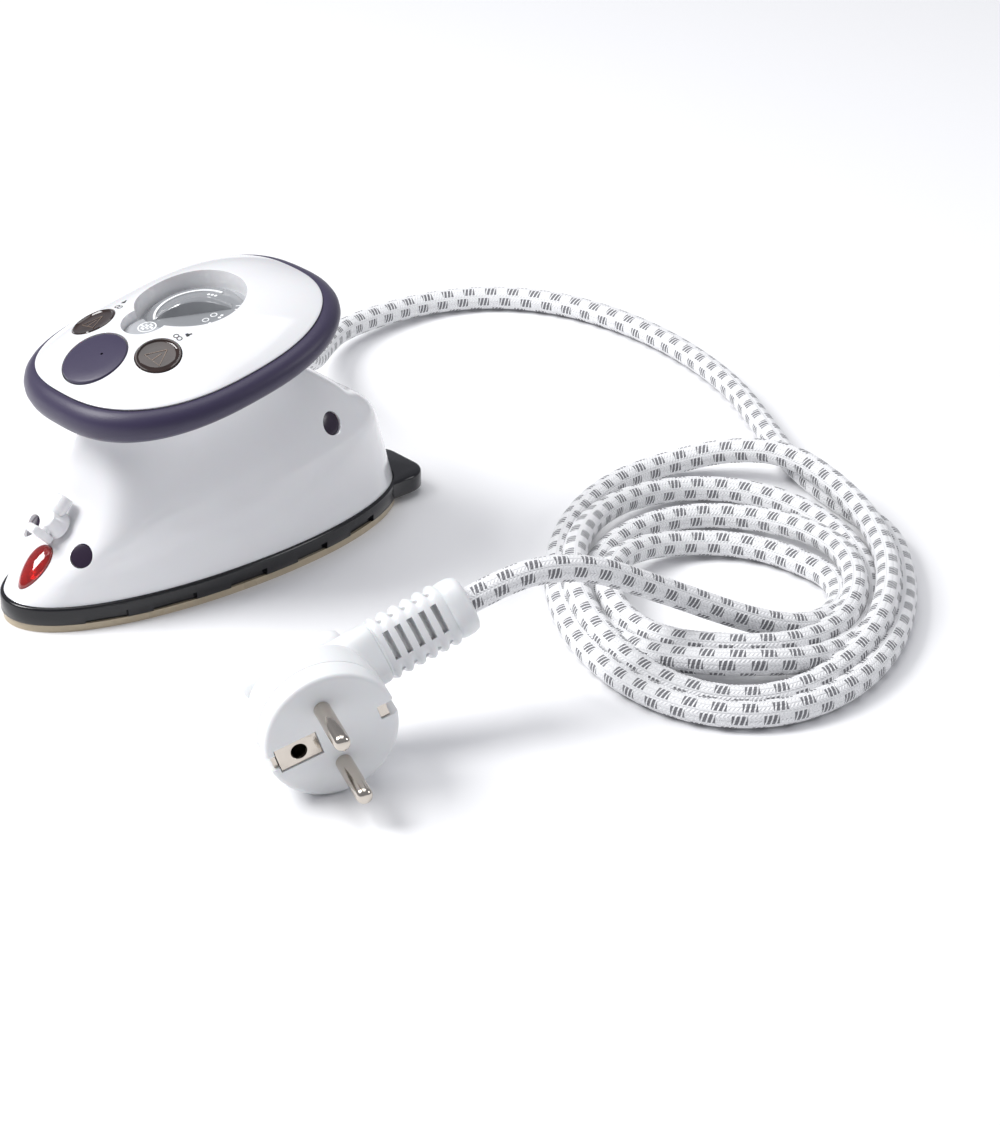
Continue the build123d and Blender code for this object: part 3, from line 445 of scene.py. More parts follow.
def coil_point(angle):
    """A point of the coil after `angle` degrees of turning, clockwise from its far side."""
    turn = (angle - 180) / 360
    lap = int(angle // 360)
    p = math.radians(angle)
    lift = SIDE_LIFT[lap] * math.sin(p) ** 2 + NEAR_LIFT[lap] * max(0.0, -math.cos(p)) ** 4
    off = (angle - CROSSING_AT) / CROSSING_SPREAD
    if abs(off) < 1:
        lift = max(lift, CROSSING_LIFT * math.cos(off * math.pi / 2) ** 2)
    centre = Vector((102 - 3.5 * turn, -120.5 - 3.8 * turn, FLOOR_Z + lift))
    return (centre + COIL_FAR * (LONG_REACH - LONG_SHRINK * turn) * math.cos(p)
            + COIL_RIGHT * (SIDE_REACH - SIDE_SHRINK * turn) * math.sin(p))


coil_turns = [coil_point(angle) for angle in range(COIL_START, COIL_END + 1, COIL_STEP)]
run_to_coil = [(63.5, 38.5, 34.5), (77.0, 52.0, 24.0), (91.5, 66.5, 15.0), (107.0, 82.0, 9.5),
               (124.0, 94.5, 7.0), (146.0, 98.8, 5.4), (169.0, 97.5, 4.5),
               (189.0, 87.0, FLOOR_Z), (202.5, 68.0, FLOOR_Z), (208.0, 45.0, FLOOR_Z),
               (208.5, 20.0, FLOOR_Z), (204.5, -5.0, FLOOR_Z), (197.0, -29.0, FLOOR_Z),
               (186.0, -51.0, FLOOR_Z), (175.5, -71.0, FLOOR_Z), (168.0, -90.0, FLOOR_Z),
               (163.5, -108.0, FLOOR_Z), (160.5, -126.0, FLOOR_Z)]
run_to_plug = [(124.4, -142.5, FLOOR_Z), (118.9, -152.6, FLOOR_Z), (109.8, -160.3, 4.8),
               (98.6, -164.4, 6.2), (86.8, -164.2, 8.8), (75.8, -159.6, 12.8),
               (65.5, -153.4, 18.0), (55.0, -148.2, 24.0), (43.0, -144.6, 30.8),
               (30.6, -142.0, 38.0), (17.0, -138.4, 42.0)]
route = [relief_exit, relief_run, *map(Vector, run_to_coil), *coil_turns,
         *map(Vector, run_to_plug), plug_run, plug_exit]


def lead_line(points):
    """Points along the smooth spline that the route controls, in metres."""
    curve = bpy.data.curves.new("lead route", "CURVE")
    curve.dimensions = "3D"
    spline = curve.splines.new("NURBS")
    spline.points.add(len(points) - 1)
    for control, point in zip(spline.points, points):
        control.co = (*(point * MM), 1)
    spline.order_u = 3
    spline.use_endpoint_u = True
    spline.resolution_u = 12
    carrier = linked("lead route", curve)
    line = [v.co.copy() for v in plain_mesh(carrier).vertices]
    bpy.data.objects.remove(carrier)
    return line


def evenly(line, step):
    """The line with its points a step apart."""
    result = [line[0].copy()]
    carried = 0.0
    for a, b in zip(line, line[1:]):
        run = (b - a).length
        while carried + run >= step:
            share = (step - carried) / run
            a = a.lerp(b, share)
            run = (b - a).length
            carried = 0.0
            result.append(a.copy())
        carried += run
    result.append(line[-1].copy())
    return result


DASH_ROWS = 6
DASH_PITCH, DASH_SHARE, DASH_WIDTH = 8.2, 0.5, 0.72
STROKES, STROKE_SHARE, STROKE_SLANT = 6.0, 0.66, 0.75
PLAITS, YARN_PITCH, YARN_SLANT = 12.0, 1.15, 1.6


def braided_sleeve():
    """White braid of fine plaited yarn with rows of short grey dashes along it, with painted shade
    darkening the yarn in its grooves and valleys.
    """
    material, tree, bsdf = shader("braided sleeve", Roughness=0.62, Sheen_Weight=0.25,
                                  Sheen_Roughness=0.4, Specular_IOR_Level=0.35)
    sums = partial(maths, tree)
    uv = tree.nodes.new("ShaderNodeUVMap")
    uv.uv_map = "along"
    parts = node(tree, "ShaderNodeSeparateXYZ", Vector=uv.outputs[0])
    around, along = parts.outputs[0], parts.outputs[1]
    rows = sums("MULTIPLY", around, float(DASH_ROWS))
    across = sums("FRACT", rows)
    shift = sums("MULTIPLY", sums("FLOOR", rows), 1 / 3)
    repeat = sums("DIVIDE", along, DASH_PITCH)
    phase = sums("FRACT", sums("ADD", repeat, shift))
    dash = sums("LESS_THAN", phase, DASH_SHARE)
    slant = sums("MULTIPLY", across, STROKE_SLANT)
    strokes = sums("FRACT", sums("ADD", sums("MULTIPLY", phase, STROKES), slant))
    stroke = sums("LESS_THAN", strokes, STROKE_SHARE)
    off_middle = sums("ABSOLUTE", sums("SUBTRACT", across, 0.5))
    inside = sums("LESS_THAN", off_middle, DASH_WIDTH / 2)
    grey = sums("MULTIPLY", sums("MULTIPLY", dash, stroke), inside)
    plait = sums("FRACT", sums("MULTIPLY", around, PLAITS))
    fold = sums("ABSOLUTE", sums("SUBTRACT", plait, 0.5))
    turns = sums("ADD", sums("DIVIDE", along, YARN_PITCH), sums("MULTIPLY", fold, YARN_SLANT))
    yarn = sums("SINE", sums("MULTIPLY", turns, 2 * math.pi))
    groove = sums("POWER", sums("MULTIPLY", fold, 2.0), 6.0)
    height = sums("SUBTRACT", sums("MULTIPLY", yarn, 0.5), groove)
    # painted shade: the colour darkens with the yarn's height, in the grooves between plaits and
    # the valleys between yarns
    shade = sums("MULTIPLY_ADD", height, 0.10, 0.92)
    shade.node.use_clamp = True
    white = mixed(tree, shade, (0.60, 0.61, 0.64, 1), (0.93, 0.93, 0.94, 1))
    dark = mixed(tree, shade, (0.10, 0.10, 0.11, 1), (0.20, 0.20, 0.215, 1))
    feed(bsdf.inputs["Base Color"], mixed(tree, grey, white, dark))
    bump = node(tree, "ShaderNodeBump", Strength=0.8, Distance=0.00022, Height=height)
    feed(bsdf.inputs["Normal"], bump.outputs[0])
    return material


def cord_sleeve(line, radius, sides=22):
    """A tube of the cord's section along the line, with a map of turns around and mm along it."""
    ways = [(line[min(i + 1, len(line) - 1)] - line[max(i - 1, 0)]).normalized()
            for i in range(len(line))]
    up = (Z - ways[0] * ways[0].dot(Z)).normalized()
    points, rings = [], []
    for place, way in zip(line, ways):
        up = (up - way * way.dot(up)).normalized()
        side = way.cross(up)
        for k in range(sides):
            angle = 2 * math.pi * k / sides
            points.append(place + (up * math.cos(angle) + side * math.sin(angle)) * radius)
    faces = []
    for row in range(len(line) - 1):
        for k in range(sides):
            j = (k + 1) % sides
            faces.append((row * sides + k, row * sides + j, (row + 1) * sides + j,
                          (row + 1) * sides + k))
    faces.append(tuple(range(sides)))
    faces.append(tuple(reversed(range((len(line) - 1) * sides, len(line) * sides))))
    mesh = bpy.data.meshes.new("braided_lead")
    mesh.from_pydata(points, [], faces)
    distances = [0.0]
    for a, b in zip(line, line[1:]):
        distances.append(distances[-1] + (b - a).length / MM)
    layer = mesh.uv_layers.new(name="along")
    for face in mesh.polygons:
        seam = face.index % sides == sides - 1
        for corner in face.loop_indices:
            vertex = mesh.loops[corner].vertex_index
            turn = vertex % sides / sides
            if seam and turn == 0:
                turn = 1.0
            layer.data[corner].uv = (turn, distances[vertex // sides])
    shape = bmesh.new()
    shape.from_mesh(mesh)
    bmesh.ops.recalc_face_normals(shape, faces=shape.faces)
    shape.to_mesh(mesh)
    shape.free()
    mesh.polygons.foreach_set("use_smooth", [True] * len(mesh.polygons))
    mesh.materials.append(braided_sleeve())
    return linked("braided_lead", mesh), distances[-1] * MM


LEAD_STEP = 1.3
lead = evenly(lead_line(route), LEAD_STEP * MM)
braided_lead, lead_length = cord_sleeve(lead, CORD_DIAMETER / 2 * MM)
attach(braided_lead, "root")
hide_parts("power_cord", "cord_coil", "cord_tail")

# ---- skirt
sole_outline = oval(front=-76.0, rear=68.0, half_width=28.2, widest=-4.0, front_square=2.1,
                    rear_square=2.1)
SKIRT_LOW, SKIRT_TOP = 2.25, 8.0
skirt_rings = [at_height(grown(sole_outline, -inset), z) for inset, z in
               ((9.0, SKIRT_LOW), (0.35, SKIRT_LOW), (0.0, 2.6), (0.0, 7.3), (0.25, 7.8),
                (0.7, SKIRT_TOP), (9.0, SKIRT_TOP))]
skirt = skin("skirt", skirt_rings, black_plastic, closed=True, sharp=50)
# the tab's two rear corners are round, and its front ones are inside the skirt
tab_corners = []
for cx, cy, radius, first, steps in ((68.2, 5.2, 7.8, 0, 12), (50.0, 13.0, 0.2, 90, 1),
                                     (50.0, -13.0, 0.2, 180, 1), (68.2, -5.2, 7.8, 270, 12)):
    for i in range(steps + 1):
        angle = math.radians(first + 90 * i / steps)
        tab_corners.append(Vector((cx + radius * math.cos(angle),
                                   cy + radius * math.sin(angle), 0)))
tab_rings = [at_height(grown(tab_corners, -inset), z) for inset, z in
             ((0.4, SKIRT_LOW), (0.0, 2.7), (0.0, 7.2), (0.3, 7.8), (0.9, SKIRT_TOP))]
tab = skin("tab", tab_rings, black_plastic)
skirt = joined(skirt, [tab], sharp=50)
NOTCH_DEPTH, NOTCH_HEIGHT = 1.5, 2.5
notches = []
for x, length in ((-55.5, 13), (-33, 14.5), (-7.5, 13.5), (16, 12.5), (39.5, 12.5)):
    for side in (-1, 1):
        near = min((p for p in sole_outline if p.y * side > 0), key=lambda p: abs(p.x - x))
        spot = sole_outline.index(near)
        run = (sole_outline[(spot + 1) % len(sole_outline)] - sole_outline[spot - 1]).normalized()
        place = frame_at(Vector((near.x, near.y, SKIRT_LOW)), Z, run)
        notches.append(block("notch", place, (length, 2 * NOTCH_DEPTH, 2 * NOTCH_HEIGHT),
                             black_plastic, -NOTCH_HEIGHT))
skirt = drilled(skirt, notches, sharp=50)
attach(skirt, "root")
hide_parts("heat_shield_skirt")

# ---- body
SLOPE = 0.192  # the body's levels rise this much towards the rear
# height at X = 0, then front, rear, half width, widest place, front and rear squareness
BODY_LEVELS = [
    (26, -69, 57, 24.3, 0, 2.7, 2.8),
    (31.5, -61.5, 49.6, 22.9, -2, 4.0, 2.8),
    (37, -54.5, 44.2, 21.5, -4, 6.0, 2.8),
    (47, -47.5, 33.6, 18.5, -8, 5.0, 2.8),
    (56, -43.5, 24, 16.5, -8, 3.5, 2.8),
    (64, -41, 17, 16, -10, 2.8, 2.6),
    (70, -41, 17, 16, -10, 2.8, 2.6),
]


def body_level(height):
    """The body's outline values at a height, eased through the listed levels."""
    heights = [level[0] for level in BODY_LEVELS]
    i = max(k for k in range(len(heights) - 1) if heights[k] <= height)
    t = (height - heights[i]) / (heights[i + 1] - heights[i])
    values = []
    for k in range(1, 7):
        here, there = BODY_LEVELS[i], BODY_LEVELS[i + 1]
        before = BODY_LEVELS[max(i - 1, 0)]
        after = BODY_LEVELS[min(i + 2, len(BODY_LEVELS) - 1)]
        span = there[0] - here[0]
        slope_here = (there[k] - before[k]) / (there[0] - before[0])
        slope_there = (after[k] - here[k]) / (after[0] - here[0])
        values.append((2 * t**3 - 3 * t**2 + 1) * here[k]
                      + (t**3 - 2 * t**2 + t) * span * slope_here
                      + (3 * t**2 - 2 * t**3) * there[k] + (t**3 - t**2) * span * slope_there)
    return values


def body_ring(height):
    """A ring of the body on its tilted level."""
    return [Vector((p.x, p.y, height + SLOPE * p.x)) for p in oval(*body_level(height))]


CREASE, SOFT, BODY_TOP = 26, 3.2, 66
foot = at_height(grown(sole_outline, -1.0), SKIRT_TOP - 0.3)
crease = body_ring(CREASE)
above = body_ring(CREASE + SOFT)
body_rings = [[a.lerp(b, share) for a, b in zip(foot, crease)]
              for share in (0, 0.03, 0.2, 0.4, 0.6, 0.74)]
below = [a.lerp(b, 0.84) for a, b in zip(foot, crease)]
for step in range(9):
    t = step / 8
    body_rings.append([a * (1 - t) ** 2 + b * (2 * t * (1 - t)) + c * t**2
                       for a, b, c in zip(below, crease, above)])
body_rings += [body_ring(CREASE + SOFT + (BODY_TOP - CREASE - SOFT) * step / 30)
               for step in range(1, 31)]
body = skin("body_skin", body_rings, white_plastic, sharp=60)

cap_frames = [frame_at((x, side * y, z), (out_x, side * out_y, out_z), Z)
              for x, y, z, out_x, out_y, out_z in ((-57.9, 13.1, 22.0, -0.72, 0.45, 0.53),
                                                   (31.8, 19.1, 39.8, 0.19, 0.89, 0.41))
              for side in (-1, 1)]
lens_frame = frame_at((-65.9, 0, 15.8), (-0.71, 0, 0.70), (0.70, 0, 0.71))
knob_frame = frame_at((-55.6, 0, 25.4), (-0.70, 0, 0.72), (0.72, 0, 0.70))


LENS_LENGTH, LENS_WIDTH, LENS_COUNT = 7.6, 4.5, 72  # half lengths, and points round it


def teardrop(grow):
    """Outline of the lens, its narrow end towards the nose."""
    points = []
    for i in range(LENS_COUNT):
        angle = 2 * math.pi * i / LENS_COUNT
        c, s = math.cos(angle), math.sin(angle)
        width = LENS_WIDTH * (0.93 + 0.17 * c)
        points.append(Vector((LENS_LENGTH * c + 0.1 + grow * c, (width + grow) * s, 0)))
    return points


def lens_ring(shrink, height, grow=0.0):
    """The lens outline drawn in by a share and lifted by a height."""
    return [lens_frame @ Vector((p.x * shrink, p.y * shrink, height)) for p in teardrop(grow)]


pockets = [turned("cap pocket", place, [(3.75, -3.2), (3.75, 5)], white_plastic, 48)
           for place in cap_frames]
pockets.append(skin("lens pocket", [lens_ring(1, -3.0, 0.2), lens_ring(1, 5, 0.2)],
                    white_plastic))
pockets.append(turned("knob hole", knob_frame, [(1.9, -6), (1.9, 4)], white_plastic, 32))
body = drilled(body, pockets, rim=0.28, sharp=45)
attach(body, "root")
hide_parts("body_shell")

caps = merged("screw_cap_heads", [
    turned("cap", place, [(3.55, -2.6), (3.55, -0.75), (3.35, -0.45), (2.6, -0.32),
                          (1.2, -0.25)], plum_plastic, 48) for place in cap_frames])
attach(caps, "root")
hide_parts("screw_caps")

lens_rings = [lens_ring(1, -2.6), lens_ring(1, 0.0)]
for step in range(1, 15):
    tip = math.radians(90 * step / 15)
    lens_rings.append(lens_ring(math.cos(tip), 0.1 + 1.9 * math.sin(tip)))
lens = skin("lens", lens_rings, red_lens)
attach(lens, "root")
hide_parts("indicator_lens")

# ---- steam knob
hub = turned("hub", knob_frame, [(4.4, 1.6), (4.45, 2.2), (4.1, 3.0), (3.4, 4.2), (3.2, 5.8),
                                 (2.7, 6.9), (1.6, 7.3)], white_plastic, 48)
fin_rings = [[knob_frame @ Vector((p.x - 4.9, p.y, height)) for p in
              oval(-half_length, half_length, half_width, 0, 6, 6, 48)]
             for height, half_length, half_width in
             ((2.2, 1.2, 2.1), (2.6, 1.4, 2.4), (9.2, 1.4, 2.4), (9.9, 1.25, 2.2),
              (10.4, 0.9, 1.7))]
fin = skin("fin", fin_rings, white_plastic)
arm = turned("arm", frame_at(knob_frame @ Vector((-5.6, 0, 5.2)), knob_frame.to_3x3() @ X, Y),
             [(2.0, 0), (2.0, 8.0), (2.6, 9.5), (2.6, 13.2), (2.3, 13.8), (1.9, 13.8),
              (1.7, 12.9)], white_plastic, 40)
knob = joined(hub, [fin, arm], rim=0.3, sharp=40)
knob.name = "steam_knob_skin"
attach(knob, "knob")
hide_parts("steam_knob")

# ---- handle
SEAM_LONG, SEAM_WIDE, SEAM_SQUARE = 43.6, 35.3, 2.54
CROWN, BEND, BEND_AT = 11.0, 2.5, 43
seam_plan = oval(-SEAM_LONG, SEAM_LONG, SEAM_WIDE, 0, SEAM_SQUARE, SEAM_SQUARE, 200)


def seam_lift(x):
    """How far the handle's seam curls up at its two ends."""
    return BEND * (x / BEND_AT) ** 2


def crown_height(x, y):
    """Height of the crown over the handle's plane."""
    share = (abs(x) / SEAM_LONG) ** SEAM_SQUARE + (abs(y) / SEAM_WIDE) ** SEAM_SQUARE
    return CROWN * (1 - min(share, 1)) + seam_lift(x)


def on_handle(x, y, height):
    """A point of the handle's frame."""
    return handle @ Vector((x, y, height))


crown_rings = []
for drop, inset in ((-2.2, 0.9), (-0.6, 0.6), (0.0, 0.12)):
    crown_rings.append([on_handle(p.x, p.y, seam_lift(p.x) + drop)
                        for p in grown(seam_plan, -inset)])
for step in range(1, 44):
    share = 1 - (step / 44) ** 1.25
    crown_rings.append([on_handle(p.x * share, p.y * share,
                                  crown_height(p.x * share, p.y * share)) for p in seam_plan])
crown = skin("crown", crown_rings, white_plastic, sharp=60)

RECESS_X, RECESS_RADIUS, RECESS_FLOOR = 6.3, 17.3, 3.4
LOBE_X, LOBE_RADIUS = -10.5, 7.4
WINDOW_X, WINDOW_Y, WINDOW_RADIUS = -18.5, 16.4, 7.0
FILLER_X, FILLER_LIFT, FILLER_TILT = -29.9, 7.0, math.radians(-14)


def handle_spot(x, y, height=0.0):
    """A frame on the handle, parallel to its plane."""
    return handle @ Matrix.Translation((x, y, height))


def crown_spot(x, y):
    """A frame on the crown's surface, square to it."""
    def surface(dx, dy):
        return on_handle(x + dx, y + dy, crown_height(x + dx, y + dy))

    step = 0.5
    along = surface(step, 0) - surface(-step, 0)
    normal = along.cross(surface(0, step) - surface(0, -step)).normalized()
    return frame_at(surface(0, 0), normal, along)


filler = handle_spot(FILLER_X, 0, FILLER_LIFT) @ Matrix.Rotation(FILLER_TILT, 4, "Y")
crown_pockets = [
    turned("recess", handle_spot(RECESS_X, 0),
           [(RECESS_RADIUS - 0.5, RECESS_FLOOR), (RECESS_RADIUS, 20)], white_plastic, 120),
    turned("lobe", handle_spot(LOBE_X, 0),
           [(LOBE_RADIUS, RECESS_FLOOR + 0.5), (LOBE_RADIUS + 0.3, 20)], white_plastic, 72),
    turned("filler seat", filler, [(10.7, -3.0), (10.7, 12)], white_plastic, 96),
]
for side in (-1, 1):
    crown_pockets.append(turned("window seat", crown_spot(WINDOW_X, side * WINDOW_Y),
                                [(WINDOW_RADIUS + 0.15, -2.2), (WINDOW_RADIUS + 0.15, 6)],
                                white_plastic, 72))
crown = drilled(crown, crown_pockets, rim=0.35, sharp=35)
crown.name = "handle_crown"
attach(crown, "root")
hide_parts("handle_top_shell")

# section of the soft band: outwards from the seam, and height below it
BAND_SECTION = [(-3.0, -1.2), (-0.4, -0.55), (0.25, -0.45), (1.1, -0.65), (2.3, -1.35),
                (3.4, -2.5), (4.0, -3.9), (4.05, -5.2), (3.5, -6.7), (2.3, -8.0), (0.6, -8.75),
                (-1.4, -8.9), (-3.6, -8.6), (-4.4, -7.4)]
band_rings = []
for out, down in BAND_SECTION:
    ring = []
    for i, p in enumerate(seam_plan):
        front = max(0.0, -p.x / SEAM_LONG) ** 2
        rear = max(0.0, p.x / SEAM_LONG) ** 2
        run = seam_plan[(i + 1) % len(seam_plan)] - seam_plan[i - 1]
        reach = out * (1 + 0.12 * front + 0.15 * rear)
        q = p + Vector((run.y, -run.x, 0)).normalized() * reach
        ring.append(on_handle(q.x, q.y, seam_lift(p.x) + down * (1 + 0.3 * front)))
    band_rings.append(ring)
band = skin("soft_band", band_rings, soft_grip, closed=True, sharp=60)
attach(band, "root")
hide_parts("grip_band")

# the handle's underside flares from the body's neck to the inside of the band
neck_plan = oval(-34.4, 24.7, 16.0, -2.8, 2.8, 2.6, 200)
bowl_rim = grown(seam_plan, -2.6)
bowl_rings = []
for share, height in ((0, -14.5), (0, -12.5), (0.05, -11.4), (0.14, -10.7), (0.3, -10.1),
                      (0.55, -9.5), (0.8, -9.0), (1.0, -8.6), (1.03, -7.6)):
    ring = []
    for a, b in zip(neck_plan, bowl_rim):
        droop = 2.0 * share * max(0.0, -b.x / SEAM_LONG) ** 2
        ring.append(on_handle(*(a.lerp(b, share)).xy, height + share * seam_lift(b.x) - droop))
    bowl_rings.append(ring)
bowl = skin("handle_underside", bowl_rings, white_plastic, sharp=60)
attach(bowl, "root")
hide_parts("handle_lower_shell")

# ---- dial
LOBE_TOP = 8.3
recess_plate = turned("recess_plate", handle_spot(RECESS_X, 0),
                      [(17.0, 2.2), (17.0, 3.5)], grey_plastic, 96)
lobe_plate = turned("lobe_plate", handle_spot(LOBE_X, 0),
                    [(7.2, 2.4), (7.2, 6.9), (6.9, 7.5), (5.6, 8.0), (3.0, LOBE_TOP)],
                    grey_plastic, 72)
clear_of_dial = turned("dial room", handle_spot(RECESS_X, 0), [(15.2, 3.5), (15.2, 12)],
                       grey_plastic, 96)
lobe_plate = drilled(lobe_plate, [clear_of_dial], rim=0.25)
plate = merged("dial_plate", [recess_plate, lobe_plate])
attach(plate, "root")
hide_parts("dial_recess_plate")

DIAL_RADIUS, DIAL_TOP = 14.75, 5.2
dial_face = handle_spot(RECESS_X, 0)
disc = turned("disc", dial_face,
              [(14.2, 3.9), (DIAL_RADIUS, 4.2), (DIAL_RADIUS, 4.7), (14.5, 5.0), (13.9, 5.15),
               (12.5, DIAL_TOP), (12.4, DIAL_TOP), (4.0, 5.3)], dial_plastic, 120)
GRIP_ANGLE = math.radians(-40)
GRIP_HALF, GRIP_RISE = 11.6, 4.1
grip_place = handle_spot(RECESS_X, 0, DIAL_TOP) @ Matrix.Rotation(GRIP_ANGLE, 4, "Z")
grip_rings = []
for step in range(49):
    along = -GRIP_HALF + 2 * GRIP_HALF * step / 48
    swell = 1 - (along / 11.7) ** 2
    top = GRIP_RISE * swell ** 1.1 + 0.15
    back = 1.1 + 3.4 * swell
    grip_rings.append([grip_place @ Vector((along, y, z)) for y, z in
                       ((-1.5 - 0.5 * swell, -0.4), (-1.55, top * 0.6), (-1.35, top * 0.93),
                        (-1.0, top), (0.1, top * 0.97), (back * 0.62, top * 0.80),
                        (back * 0.72, top * 0.55), (back * 0.8, 0.3), (back, -0.4))])
grip = skin("grip", grip_rings, dial_plastic, sharp=30)
dial = merged("dial", [disc, grip])
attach(dial, "dial")
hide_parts("temperature_dial")


def strip(name, spot, line, width, material, lift, thick):
    """A flat printed or raised line along plan points; `spot` places one at a height."""
    points, faces = [], []
    for i, p in enumerate(line):
        run = (line[min(i + 1, len(line) - 1)] - line[max(i - 1, 0)]).normalized()
        side = Vector((-run.y, run.x)) * width / 2
        for q, z in ((p + side, lift), (p - side, lift), (p - side, lift - thick),
                     (p + side, lift - thick)):
            points.append(spot(q.x, q.y, z))
    for i in range(len(line) - 1):
        for k in range(4):
            j = (k + 1) % 4
            faces.append((4 * i + k, 4 * i + j, 4 * i + 4 + j, 4 * i + 4 + k))
    faces.append((0, 1, 2, 3))
    end = 4 * (len(line) - 1)
    faces.append((end + 3, end + 2, end + 1, end))
    return make_piece(name, points, faces, material)


def flat(place):
    """Places a strip's points on the plane of a frame."""
    return lambda x, y, z: place @ Vector((x, y, z))


def draped(x, y, z):
    """Places a strip's points at a height over the crown."""
    return on_handle(x, y, crown_height(x, y) + z)


def arc(radius, start, stop, centre=(0, 0), count=40):
    """Plan points of an arc, in degrees."""
    angles = [math.radians(start + (stop - start) * i / count) for i in range(count + 1)]
    return [Vector((centre[0] + radius * math.cos(a), centre[1] + radius * math.sin(a)))
            for a in angles]


def circle(radius, centre=(0, 0), count=28):
    """Plan points once round a small circle."""
    return arc(radius, 0, 360, centre, count)


tick = strip("tick", flat(Matrix.Identity(4)), [Vector((12.7, 0)), Vector((14.1, 0))], 0.32,
             print_white, 5.28, 0.3)
dial_print_and_highlight_parts = [row("ticks", tick, dial_face @ Matrix.Rotation(math.radians(-104), 4, "Z"), 8, turn=9.0),
         # a low raised rib, coloured white along the dial's far half only: the white is a painted
         # highlight
         strip("painted_highlight_arc", flat(dial_face), arc(11.9, 6, 150), 0.75, print_white, 5.55, 0.5)]
# setting signs: one, two and three dots beside a plain ring, as on any such dial
DOTS_OUT, RINGS_OUT = 9.9, 7.4
for sign, azimuth in enumerate((-98, -72, 18)):
    for dot in range(sign + 1):
        angle = math.radians(azimuth + 7.5 * (dot - sign / 2))
        spot = Matrix.Translation((DOTS_OUT * math.cos(angle), DOTS_OUT * math.sin(angle), 5.0))
        dial_print_and_highlight_parts.append(turned("dot", dial_face @ spot, [(0.5, 0), (0.5, 0.3)], print_white, 16))
    angle = math.radians(azimuth)
    ring = circle(0.95, (RINGS_OUT * math.cos(angle), RINGS_OUT * math.sin(angle)))
    dial_print_and_highlight_parts.append(strip("ring", flat(dial_face), ring, 0.3, print_white, 5.4, 0.3))
dial_print_and_highlight = merged("dial_print_and_highlight", dial_print_and_highlight_parts)
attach(dial_print_and_highlight, "dial")

# a plain sign of rising steam on the lobe
lobe_top = handle_spot(LOBE_X, 0, LOBE_TOP)
sign_place = lobe_top @ Matrix.Rotation(GRIP_ANGLE, 4, "Z")
steam_lines = []
for wave in (-1.3, 0.0, 1.3):
    line = [Vector((0.45 * math.sin(math.pi * t / 5) + wave, -1.5 + 3.0 * t / 20))
            for t in range(21)]
    steam_lines.append(strip("wave", flat(sign_place), line, 0.42, print_white, 0.1, 0.6))
steam_lines.append(strip("ring", flat(lobe_top), circle(2.7, count=48), 0.4, print_white, 0.02,
                         0.6))
steam_sign = merged("steam_sign", steam_lines)
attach(steam_sign, "root")


# plain signs between the windows and the dial: two loops and an arrow on each side
INK_LIFT, INK_THICK = 0.06, 0.26
signs = []
for side in (-1, 1):
    spot = Vector((-9.8, 14.9 * side))
    lines = [(circle(0.75, (spot.x, spot.y + shift), 20), 0.28) for shift in (-0.75, 0.75)]
    stops = [spot + Vector((out, up * side)) for out, up in ((2.2, 1.0), (3.1, 1.3), (4.0, 1.6))]
    lines += [(stops[:2], 1.3), (stops[1:], 0.5)]
    for line, width in lines:
        signs.append(strip("sign", draped, line, width, print_black, INK_LIFT, INK_THICK))
crown_signs = merged("crown_signs", signs)
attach(crown_signs, "root")

# ---- windows and filler cap
fill_marks = []
for side, part in ((1, "water_window_left"), (-1, "water_window_right")):
    place = crown_spot(WINDOW_X, side * WINDOW_Y)
    pane = turned("pane_" + part[13:], place,
                  [(6.9, -1.9), (6.95, -0.35), (6.7, -0.1), (6.35, -0.12), (6.0, -0.5),
                   (5.6, -0.62), (3.6, -0.55), (1.5, -0.5)], smoked, 72)
    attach(pane, "root")
    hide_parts(part)
    corners = [Vector((3.4, 0)), Vector((-2.4, 3.3)), Vector((-2.4, -3.3)), Vector((3.4, 0))]
    for name, line in (("triangle", corners), ("bar", [Vector((-2.4, 0)), Vector((1.2, 0))])):
        fill_marks.append(strip(name, flat(place), line, 0.32, print_brown, -0.42, 0.25))
fill_mark = merged("fill_marks", fill_marks)
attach(fill_mark, "root")

cap = turned("filler_cap_head", filler,
             [(4.9, -5.6), (5.1, -5.2), (5.1, -0.9), (10.0, -0.9), (10.3, -0.6), (10.3, 0.15),
              (10.0, 0.6), (9.2, 0.85), (6.0, 1.05), (2.0, 1.15)], soft_grip, 96)
vent = turned("vent", filler @ Matrix.Translation((2.0, -1.5, 0)), [(0.45, 0.4), (0.45, 2)],
              soft_grip, 20)
cap = drilled(cap, [vent])
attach(cap, "cap")
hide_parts("filler_cap")

# ---- strain relief at the iron
relief_place = frame_at(RELIEF_START, RELIEF_WAY, Z)
RELIEF_RIBS, RIB_STEP = 6, 3.3
relief_profile = [(5.6, 0), (5.6, 8.0)]
for i in range(RELIEF_RIBS):
    start = 9.0 + RIB_STEP * i
    radius = 5.5 - 0.16 * i
    relief_profile += [(radius, start), (radius, start + 1.9), (radius - 0.7, start + 2.1),
                       (radius - 0.7, start + 3.0)]
relief_profile += [(4.75, 28.9), (4.7, 29.6), (4.4, RELIEF_LENGTH)]
boot = turned("lead_boot", relief_place, relief_profile, soft_white, 48)
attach(boot, "root")
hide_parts("cord_strain_relief")

# ---- plug
def rounded_ring(place, half_x, half_y, square, height):
    """A ring of a rounded rectangle at a height of a frame: oval at 2 and squarer above."""
    plan = oval(-half_x, half_x, half_y, 0, square, square, 96)
    return [place @ p for p in at_height(plan, height)]


def plug_spot(x, y=0.0):
    """A frame on the plug's face, with z out along its pins."""
    return plug @ Matrix.Translation((x, y, 0))


